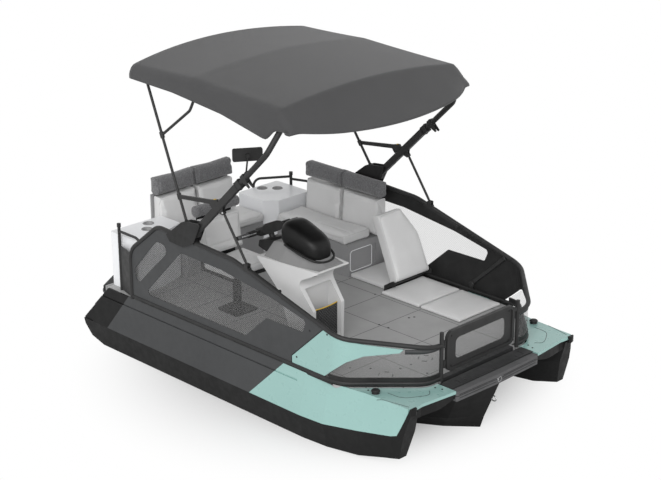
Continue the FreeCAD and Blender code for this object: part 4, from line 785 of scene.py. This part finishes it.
def makeNet():
    f = netFacts
    surface = netSurface(f)
    net = addSheet("consoleNet", surface, f["thickness"], 0.0, "polyesterNet", "boat", "net_cloth")
    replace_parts(net, "console_net")
    edge = [tubeParts(surface[-1], f["edgeRadius"], 8)]
    edge = addParts("netEdge", edge, "dyedNylonTag", slot="net_cloth")
    lines = [netCord(f, sign, shift) for sign in (-1, 1) for shift in np.arange(*f["cordShifts"])]
    cells = [tubeParts(line, f["cordRadius"], 5) for line in lines if len(line) > 3]
    cords = addParts("netCords", cells, "extrudedRubber", slot="net_cloth")


mirrorFacts = dict(half=(0.108, 0.042), corner=0.012, near=-0.0150, far=-0.0125, bevel=0.0008, turn=-33,
                   place=(0.222, -1.063, 2.199))


def makeMirrorGlass():
    f = mirrorFacts
    half = np.array(f["half"])
    verts, faces = slabParts(roundedOutline(-half, half, f["corner"]), "x", f["near"], f["far"], f["bevel"])
    c, s = math.cos(math.radians(f["turn"])), math.sin(math.radians(f["turn"]))
    verts = verts @ np.array([[c, s, 0], [-s, c, 0], [0, 0, 1]]) + f["place"]
    addPiece("mirrorGlass", verts, faces, "silveredGlass", "folding_top", "trim_black")


# Fittings set on the CAD surfaces

down, astern = (0, 0, -1), (-1, 0, 0)


def onNodes(names, points, direction):
    return laid(treeOf([nodes[name].data for name in names]), points, direction)


def boltsOn(names, points, direction, radius, height, sides=10):
    # Domed heads where the points meet the surface, square to it.
    profile = [(radius, -height * 0.3), (radius, height * 0.4), (radius * 0.8, height * 0.85),
               (radius * 0.3, height)]
    return [turnedParts(profile, *spot, sides) for spot in zip(*onNodes(names, points, direction))]


def ridgeOn(names, line, direction, radius, step=0.03, closed=False):
    # A bead laid on the surface along a line.
    return tubeParts(onNodes(names, evenPath(line, step, closed), direction)[0], radius, 8, closed)


def mirroredY(points):
    return [(x, -y, z) for x, y, z in points]


screwFacts = dict(size=(0.008, 0.004), caps=[(1.795, 0.572, 0.6), (1.853, 0.555, 0.6), (1.330, 1.02, 0.6),
                  (1.46, 0.97, 0.6)], sides=[(1.144, -1.2, 0.957), (0.80, -1.2, 0.66), (0.95, -1.2, 0.93),
                  (1.42, -1.2, 0.66)], gate=[(1.9, -0.40, 0.64), (1.9, -0.40, 0.92), (1.9, -0.35, 0.655),
                  (1.9, -0.35, 0.905)])


def makeBowScrews():
    f = screwFacts
    heads = boltsOn(["bow_caps"], f["caps"] + mirroredY(f["caps"]), down, *f["size"])
    for places, direction in ((f["sides"], (0, 1, 0)), (mirroredY(f["sides"]), (0, -1, 0))):
        heads += boltsOn(["bow_side_panels", "side_panels"], places, direction, *f["size"])
    addParts("bowScrews", heads, smooth=False)
    heads = boltsOn(["gate_frame"], f["gate"] + mirroredY(f["gate"]), astern, *f["size"])
    addParts("gateScrews", heads, "mouldedNylon", "gate", "frame_black", False)


capSeamFacts = dict(radius=0.0022, edge=[(1.60, 1.022, 0.7), (1.74, 0.996, 0.7), (1.884, 0.966, 0.7)],
                    recess=[(1.60, 0.90, 0.7), (1.73, 0.885, 0.7), (1.80, 0.80, 0.7), (1.845, 0.70, 0.7),
                    (1.80, 0.645, 0.7)])


def makeCapSeams():
    f = capSeamFacts
    beads = [ridgeOn(["bow_caps"], smoothPath(points), down, f["radius"])
             for line in (f["edge"], f["recess"]) for points in (line, mirroredY(line))]
    addParts("capSeams", beads, "mouldedAsaPanel")


knobFacts = dict(place=(1.535, 0.967, 0.7), dome=[(0.031, -0.003), (0.032, 0.003), (0.027, 0.007),
                 (0.026, 0.011), (0.035, 0.017), (0.036, 0.023), (0.029, 0.030), (0.015, 0.034),
                 (0.002, 0.035)])


def makeKnobs():
    # Rounded mooring knobs: a low dome on a waist.
    f = knobFacts
    feet = onNodes(["bow_caps"], mirroredY([f["place"]]) + [f["place"]], down)[0]
    addParts("bowCleats", [turnedParts(f["dome"], foot, (0, 0, 1), 28) for foot in feet])


eyeFacts = dict(stepX=1.968, stepZ=0.487, stepHalf=(0.022, 0.020), stepWire=0.0045, stemZ=0.30, stemAhead=0.012,
                stemHalf=(0.026, 0.022), stemWire=0.005)


def makeTowEyes():
    # A ring across the face of the bow step, and one fore and aft on the stem of the centre hull.
    f = eyeFacts
    ring = np.linspace(0, 2 * np.pi, 24, endpoint=False)
    c, s = np.cos(ring), np.sin(ring)
    upper = np.column_stack([f["stepX"] + 0 * c, f["stepHalf"][0] * c, f["stepZ"] + f["stepHalf"][1] * s])
    x, _, z = onNodes(["center_hull"], [(2.0, 0, f["stemZ"])], astern)[0][0]
    lower = np.column_stack([x + f["stemAhead"] + f["stemHalf"][0] * c, 0 * c, z + f["stemHalf"][1] * s])
    eyes = [tubeParts(upper, f["stepWire"], 8, True), tubeParts(lower, f["stemWire"], 8, True)]
    addParts("towEyes", eyes, "brushedStainless", "boat", "hull_black")


stepFacts = dict(plate=[(-0.034, 0.459), (0.034, 0.515)], plateCorner=0.008, plateDepth=(1.962, 1.9665, 0.001),
                 groove=0.0022, grooves=[[(1.885, -0.36, 0.7), (1.80, -0.36, 0.7)], [(1.885, 0.41, 0.7),
                 (1.80, 0.41, 0.7)], [(1.885, -0.36, 0.7), (1.899, 0.41, 0.7)]], holeSize=(0.012, 0.002),
                 holes=[(1.862, 0.334, 0.7), (1.89, 0.023, 0.7), (1.861, -0.292, 0.7)])


def makeStepTrim():
    f = stepFacts
    parts = [slabParts(roundedOutline(*f["plate"], f["plateCorner"]), "x", *f["plateDepth"])]
    parts += [ridgeOn(["bow_step"], line, down, f["groove"]) for line in f["grooves"]]
    parts += boltsOn(["bow_step"], f["holes"], down, *f["holeSize"], 16)
    addParts("stepTrim", parts)


deckScrewFacts = dict(size=(0.010, 0.0015), places=[(0.153, 0.470), (0.648, 0.002), (0.748, 0.009),
                      (0.726, 0.289), (0.747, 0.333), (1.084, -0.789), (1.207, -0.683), (1.379, -0.519),
                      (1.384, -0.402), (1.586, -0.432)])


def makeDeckScrews():
    places = [(x, y, 0.7) for x, y in deckScrewFacts["places"]]
    heads = boltsOn(["deck"], places, down, *deckScrewFacts["size"], 16)
    addParts("deckScrews", heads)


holderFacts = dict(top=1.060, centres=[(-1.620, 0.755), (-1.516, 0.857), (-1.609, -0.643), (-1.499, -0.747)],
                   rim=[(0.0405, -0.006), (0.0405, 0.0015), (0.043, 0.0032), (0.050, 0.0028), (0.052, 0.0005),
                   (0.052, -0.004)], cup=[(0.001, -0.069), (0.0350, -0.0685), (0.0385, -0.066), (0.0392, 0.0),
                   (0.0405, 0.0), (0.0395, -0.067), (0.036, -0.0705), (0.001, -0.0710)])


def makeHolders():
    # A liner in each cup holder of the corner tables, and a turned rim round its mouth.
    f = holderFacts
    for name, part, finish in (("holderCups", "cup", "lowGlossSeatBox"),
                               ("holderRims", "rim", "satinMouldedCover")):
        parts = [turnedParts(f[part], (x, y, f["top"]), (0, 0, 1), 36, part == "rim") for x, y in f["centres"]]
        addParts(name, parts, finish, slot="table_grey")


ringFacts = dict(centres=[(1.388, -0.235), (1.379, -0.688)], radius=0.056, level=0.5555, rib=0.0035,
                 span=(15, 55))


def makeDeckRings():
    # Four short ribs in a ring mark each removable fitting's place on the deck.
    f = ringFacts
    ribs = []
    for x, y in f["centres"]:
        for quarter in range(4):
            turn = np.radians(np.linspace(*f["span"], 9) + 90 * quarter)
            arc = x + f["radius"] * np.cos(turn), y + f["radius"] * np.sin(turn), np.full(9, f["level"])
            ribs.append(tubeParts(np.column_stack(arc), f["rib"], 6))
    addParts("deckRings", ribs)


linerFacts = dict(gap=0.0003, thickness=0.0006)


def linerParts(name, gap, thickness):
    # The inboard faces of a panel, drawn out into a thin sheet just inside it.
    mesh = nodes[name].data
    co = vertexData(mesh)
    parts = []
    for p in mesh.polygons:
        side = np.sign(p.center.y)
        if p.normal.y * side < 0 and abs(p.normal.z) < 0.5 and p.normal.x * side < 0.9:
            corners, normal, n = co[list(p.vertices)], np.array(p.normal), len(p.vertices)
            verts = np.concatenate([corners + normal * gap, corners + normal * (gap + thickness)])
            parts.append((verts, tubeFaces(2, n, False, True)))
    return parts


def makeLiners():
    parts = [part for name in ("side_panels", "bow_side_panels") for part in linerParts(name, **linerFacts)]
    addParts("panelLiners", parts, smooth=False)


sealFacts = dict(outline=[(1.0975, 0.5462), (1.1025, 0.5462), (1.1025, 0.5688), (1.0975, 0.5688)],
                 span=(-1.25, 1.20), bevel=0.0005)


def makeRailSeals():
    # A strip along the foot of each side panel.
    f = sealFacts
    outlines = [f["outline"], [(-y, z) for y, z in f["outline"][::-1]]]
    parts = [slabParts(outline, "x", *f["span"], f["bevel"]) for outline in outlines]
    addParts("railSeals", parts, smooth=False)


edgePlateFacts = dict(outline=[(1.6900, 0.5553), (1.7403, 0.5553), (1.7403, 0.506), (1.7423, 0.506),
                      (1.7423, 0.5573), (1.690, 0.5573)], span=(-0.440, 0.440))


def makeEdgePlate():
    # An angle strip over the front edge of the deck.
    parts = [slabParts(edgePlateFacts["outline"], "y", *edgePlateFacts["span"])]
    addParts("deckEdgePlate", parts, "mouldedGripPlastic", "boat", "deck_grey", False)


grooveFacts = dict(levels=(0.478, 0.508), spans=[(-0.47, -0.045), (0.045, 0.47)], radius=0.0024, step=0.02)


def makeBumperGrooves():
    f = grooveFacts
    lines = [[(2.1, start, z), (2.1, end, z)] for z in f["levels"] for start, end in f["spans"]]
    grooves = [ridgeOn(["bow_bumper"], line, astern, f["radius"], f["step"]) for line in lines]
    addParts("bumperGrooves", grooves, slot="bumper_rubber")


doorFacts = dict(low=(0.612, 0.602), high=(0.898, 0.800), corner=0.03, radius=0.004, step=0.012)


def makeDoorBead():
    f = doorFacts
    outline = roundedOutline(f["low"], f["high"], f["corner"], 8)
    outline = evenPath(np.column_stack([0 * outline[:, 0], outline]), f["step"], True)
    bead = ridgeOn(["bench_bases"], outline, astern, f["radius"], f["step"], True)
    addParts("doorBead", [bead], "whiteGelCoat", slot="table_grey")


pullFacts = dict(radius=0.006, line=[(0.520, -0.690, 1.158), (0.530, -0.670, 1.146), (0.532, -0.615, 1.144),
                 (0.522, -0.595, 1.156)])


def makeConsolePull():
    pull = tubeParts(smoothPath(pullFacts["line"]), pullFacts["radius"], 10)
    addParts("consolePull", [pull])


strutFacts = dict(line=[(0.745, 0.597), (0.745, 0.654), (1.104, 0.986)], half=0.016, bevel=0.002, near=1.0795,
                  far=1.0955, knee=(0.745, 0.645), pinOut=0.016, boss=[(0.028, -0.008), (0.028, 0.006),
                  (0.022, 0.010), (0.002, 0.010)], pin=[(0.004, 0.008), (0.004, 0.012), (0.001, 0.013)])


def makeStruts():
    # A flat bar behind each front panel joint, bent at the low rail, with a round boss at its knee.
    f = strutFacts
    line = np.array(f["line"])
    along = unit(np.gradient(line, axis=0))
    aside = np.column_stack([-along[:, 1], along[:, 0]]) * f["half"]
    outline = np.concatenate([line - aside, (line + aside)[::-1]])
    x, z = f["knee"]
    parts = []
    for side in (-1, 1):
        y, inboard = side * f["near"], (0, -side, 0)
        parts.append(slabParts(outline, "y", *sorted((y, side * f["far"])), f["bevel"]))
        parts.append(turnedParts(f["boss"], (x, y, z), inboard))
        parts += [turnedParts(f["pin"], (x + f["pinOut"] * a, y, z + f["pinOut"] * b), inboard, 8)
                  for a, b in ((-1, 0), (1, 0), (0, 1), (0, -1))]
    addParts("panelStruts", parts, "powderCoatedAluminium", "boat", "frame_black", False)


bowFacts = dict(x=1.10, y=0.45, outside=1.4, reach=1.39, count=40)


def roundBow(name, side, level, low, high):
    # Where rays towards a centre behind the bow corner meet a node at one level, with the outward directions.
    f = bowFacts
    turn = np.radians(np.linspace(low, high, f["count"]))
    away = np.column_stack([np.cos(turn), side * np.sin(turn), 0 * turn])
    centre = np.array([f["x"], side * f["y"], level])
    tree = treeOf([nodes[name].data])
    found = [tree.ray_cast(Vector(centre + a * f["outside"]), Vector(-a), f["reach"])[0] for a in away]
    path = np.array([hit for hit in found if hit is not None])
    along = np.gradient(path, axis=0)
    out = np.column_stack([along[:, 1], -along[:, 0], 0 * along[:, 0]]) * side
    return path, unit(out)


bandFacts = dict(level=0.82, low=3, high=29, foot=0.829, outer=0.001, inner=-0.005, over=0.004, inset=0.002,
                 lift=0.012, reach=0.15)


def makeWindowBands():
    # Dark bands over the bow windows up to the rail.
    f = bandFacts
    rails = treeOf([nodes["rails"].data])
    bands = []
    for side in (-1, 1):
        path, out = roundBow("bow_windows", side, f["level"], f["low"], f["high"])
        starts = path - out * f["inset"] + [0, 0, f["lift"]]
        tops = [rails.ray_cast(Vector(start), Vector((0, 0, 1)), f["reach"])[0] for start in starts]
        top = np.median([hit.z for hit in tops if hit is not None]) + f["over"]
        bands.append(sweptParts(path, out, [(f["outer"], f["foot"]), (f["outer"], top), (f["inner"], top),
                                            (f["inner"], f["foot"])]))
    addParts("windowBands", bands, "mouldedAsaPanel")


# Painted shade: a black strip over the deck edge at the bow corners, where the sills cast shadow.
shadeSkirtFacts = dict(level=0.551, low=2, high=84, profile=[(0.0015, 0.5455), (0.0015, 0.5565), (-0.040, 0.5565),
                  (-0.040, 0.5552), (0.0002, 0.5552), (0.0002, 0.5455)])


def makePaintedShadeSkirts():
    # Dark skirts round the bow corners of the deck: painted shadow under the window sills, which also hides the
    # pale deck edge.
    f = shadeSkirtFacts
    shadeSkirts = [sweptParts(*roundBow("deck", side, f["level"], f["low"], f["high"]), f["profile"])
              for side in (-1, 1)]
    addParts("paintedShadeSkirts", shadeSkirts, smooth=False)


topFacts = dict(pins=[(-0.400, 1.117, 1.402, 0.020), (-0.045, 1.106, 1.658, 0.010)],
                foot=(-0.400, 1.095, 1.402), slope=(0.7160, 0.6981), collars=(0.745, 0.805),
                collarHalf=(0.036, 0.025), collarCorner=0.006, collarRadius=0.0032, tag=(-0.165, 1.080, 1.9),
                tagSize=(0.012, 0.004))


def makeTopParts():
    # Pin heads, two collars on each raked arm, and a tag on each bow link.
    f = topFacts
    (x, y, z), (u, w) = f["foot"], f["slope"]
    half = np.array(f["collarHalf"])
    a, b = roundedOutline(-half, half, f["collarCorner"], 3).T
    pins, collars = [], []
    for side in (-1, 1):
        for px, py, pz, r in f["pins"]:
            profile = [(r, -0.004), (r, 0.004), (r * 0.7, 0.007), (r * 0.25, 0.008)]
            pins.append(turnedParts(profile, (px, side * py, pz), (0, side, 0), 20))
        for along in f["collars"]:
            line = np.column_stack([x + u * along - w * a, side * y + b, z + w * along + u * a])
            collars.append(tubeParts(line, f["collarRadius"], 6, True))
    addParts("topPins", pins, "brushedStainless", "folding_top", "frame_black")
    addParts("armCollars", collars, "mouldedNylon", "folding_top", "frame_black")
    tags = boltsOn(["top_bows"], mirroredY([f["tag"]]) + [f["tag"]], down, *f["tagSize"])
    addParts("linkTags", tags, "dyedNylonTag", "folding_top", "frame_black")


# Stage

lightFacts = dict(sky=0.6, sun=2.2, sunAngle=50, sunTurn=(60, 0, 35), floorColour="#F6F6F6", floorHalf=30,
                  floorLevel=-0.002, fadeFrom=0.9, fadeTo=2.3)


def makeStage(facts):
    scene = bpy.context.scene
    scene.view_settings.view_transform = "Standard"
    world = bpy.data.worlds.new("studio")
    world.use_nodes = True
    tree = world.node_tree
    tree.nodes.clear()
    rays = addNode(tree, "LightPath").outputs
    seen = addNode(tree, "Math", {0: rays["Is Camera Ray"], 1: rays["Is Transmission Ray"]},
                   operation="MAXIMUM")
    shown = addNode(tree, "Math", {0: seen, 1: rays["Is Glossy Ray"]}, operation="MAXIMUM")
    level = addNode(tree, "MapRange", {"Value": shown, "To Min": facts["sky"], "To Max": 1.0})
    light = addNode(tree, "Background", {"Color": (1, 1, 1, 1), "Strength": level})
    addNode(tree, "OutputWorld", {"Surface": light})
    scene.world = world
    sun = bpy.data.lights.new("softKey", "SUN")
    sun.energy, sun.angle = facts["sun"], math.radians(facts["sunAngle"])
    lamp = bpy.data.objects.new("softKey", sun)
    lamp.rotation_euler = [math.radians(a) for a in facts["sunTurn"]]
    scene.collection.objects.link(lamp)
    floor = bpy.data.meshes.new("floor")
    corners = np.array([(-1, -1, 0), (1, -1, 0), (1, 1, 0), (-1, 1, 0)]) * facts["floorHalf"]
    floor.from_pydata((corners + [0, 0, facts["floorLevel"]]).tolist(), [], [(0, 1, 2, 3)])
    plane = bpy.data.objects.new("floor", floor)
    scene.collection.objects.link(plane)
    # Matt white floor near the boat that fades to plain white for the camera.
    tree, shader, place = startMaterial("paintedStudioFloor", Base_Color=facts["floorColour"], Roughness=0.9)
    distance = addNode(tree, "VectorMath", {0: place}, operation="LENGTH").outputs["Value"]
    fade = addNode(tree, "MapRange", {"Value": distance, "From Min": facts["fadeFrom"],
                                      "From Max": facts["fadeTo"]}, interpolation_type="SMOOTHSTEP")
    rays = addNode(tree, "LightPath").outputs
    white = addNode(tree, "Emission", {"Color": (1, 1, 1, 1), "Strength": 1.0})
    through = addNode(tree, "Math", {0: rays["Is Camera Ray"], 1: rays["Is Transmission Ray"]},
                      operation="MAXIMUM")
    seen = addNode(tree, "Math", {0: fade, 1: through}, operation="MULTIPLY")
    mix = addNode(tree, "MixShader", {0: seen, 1: shader, 2: white})
    feed(tree, tree.nodes["Material Output"], {"Surface": mix})
    floor.materials.append(materials["paintedStudioFloor"])


def main():
    makeCamera(cameraFacts)
    makeStage(lightFacts)
    print("camera and stage made")
    started = startCushions()
    blowUp(started)
    finishCushions(started)
    print("cushions made")
    makeCanopy()
    print("canopy made")
    for makePart in (makePod, makeHandleParts, makeNet, makeMirrorGlass):
        makePart()
    print("helm made")
    for makePart in (makeBowScrews, makeCapSeams, makeKnobs, makeTowEyes, makeStepTrim, makeDeckScrews,
                     makeHolders, makeDeckRings, makeLiners, makeRailSeals, makeEdgePlate, makeBumperGrooves,
                     makeDoorBead, makeConsolePull, makeStruts, makeWindowBands, makePaintedShadeSkirts, makeTopParts):
        makePart()
    print("fittings made")


main()
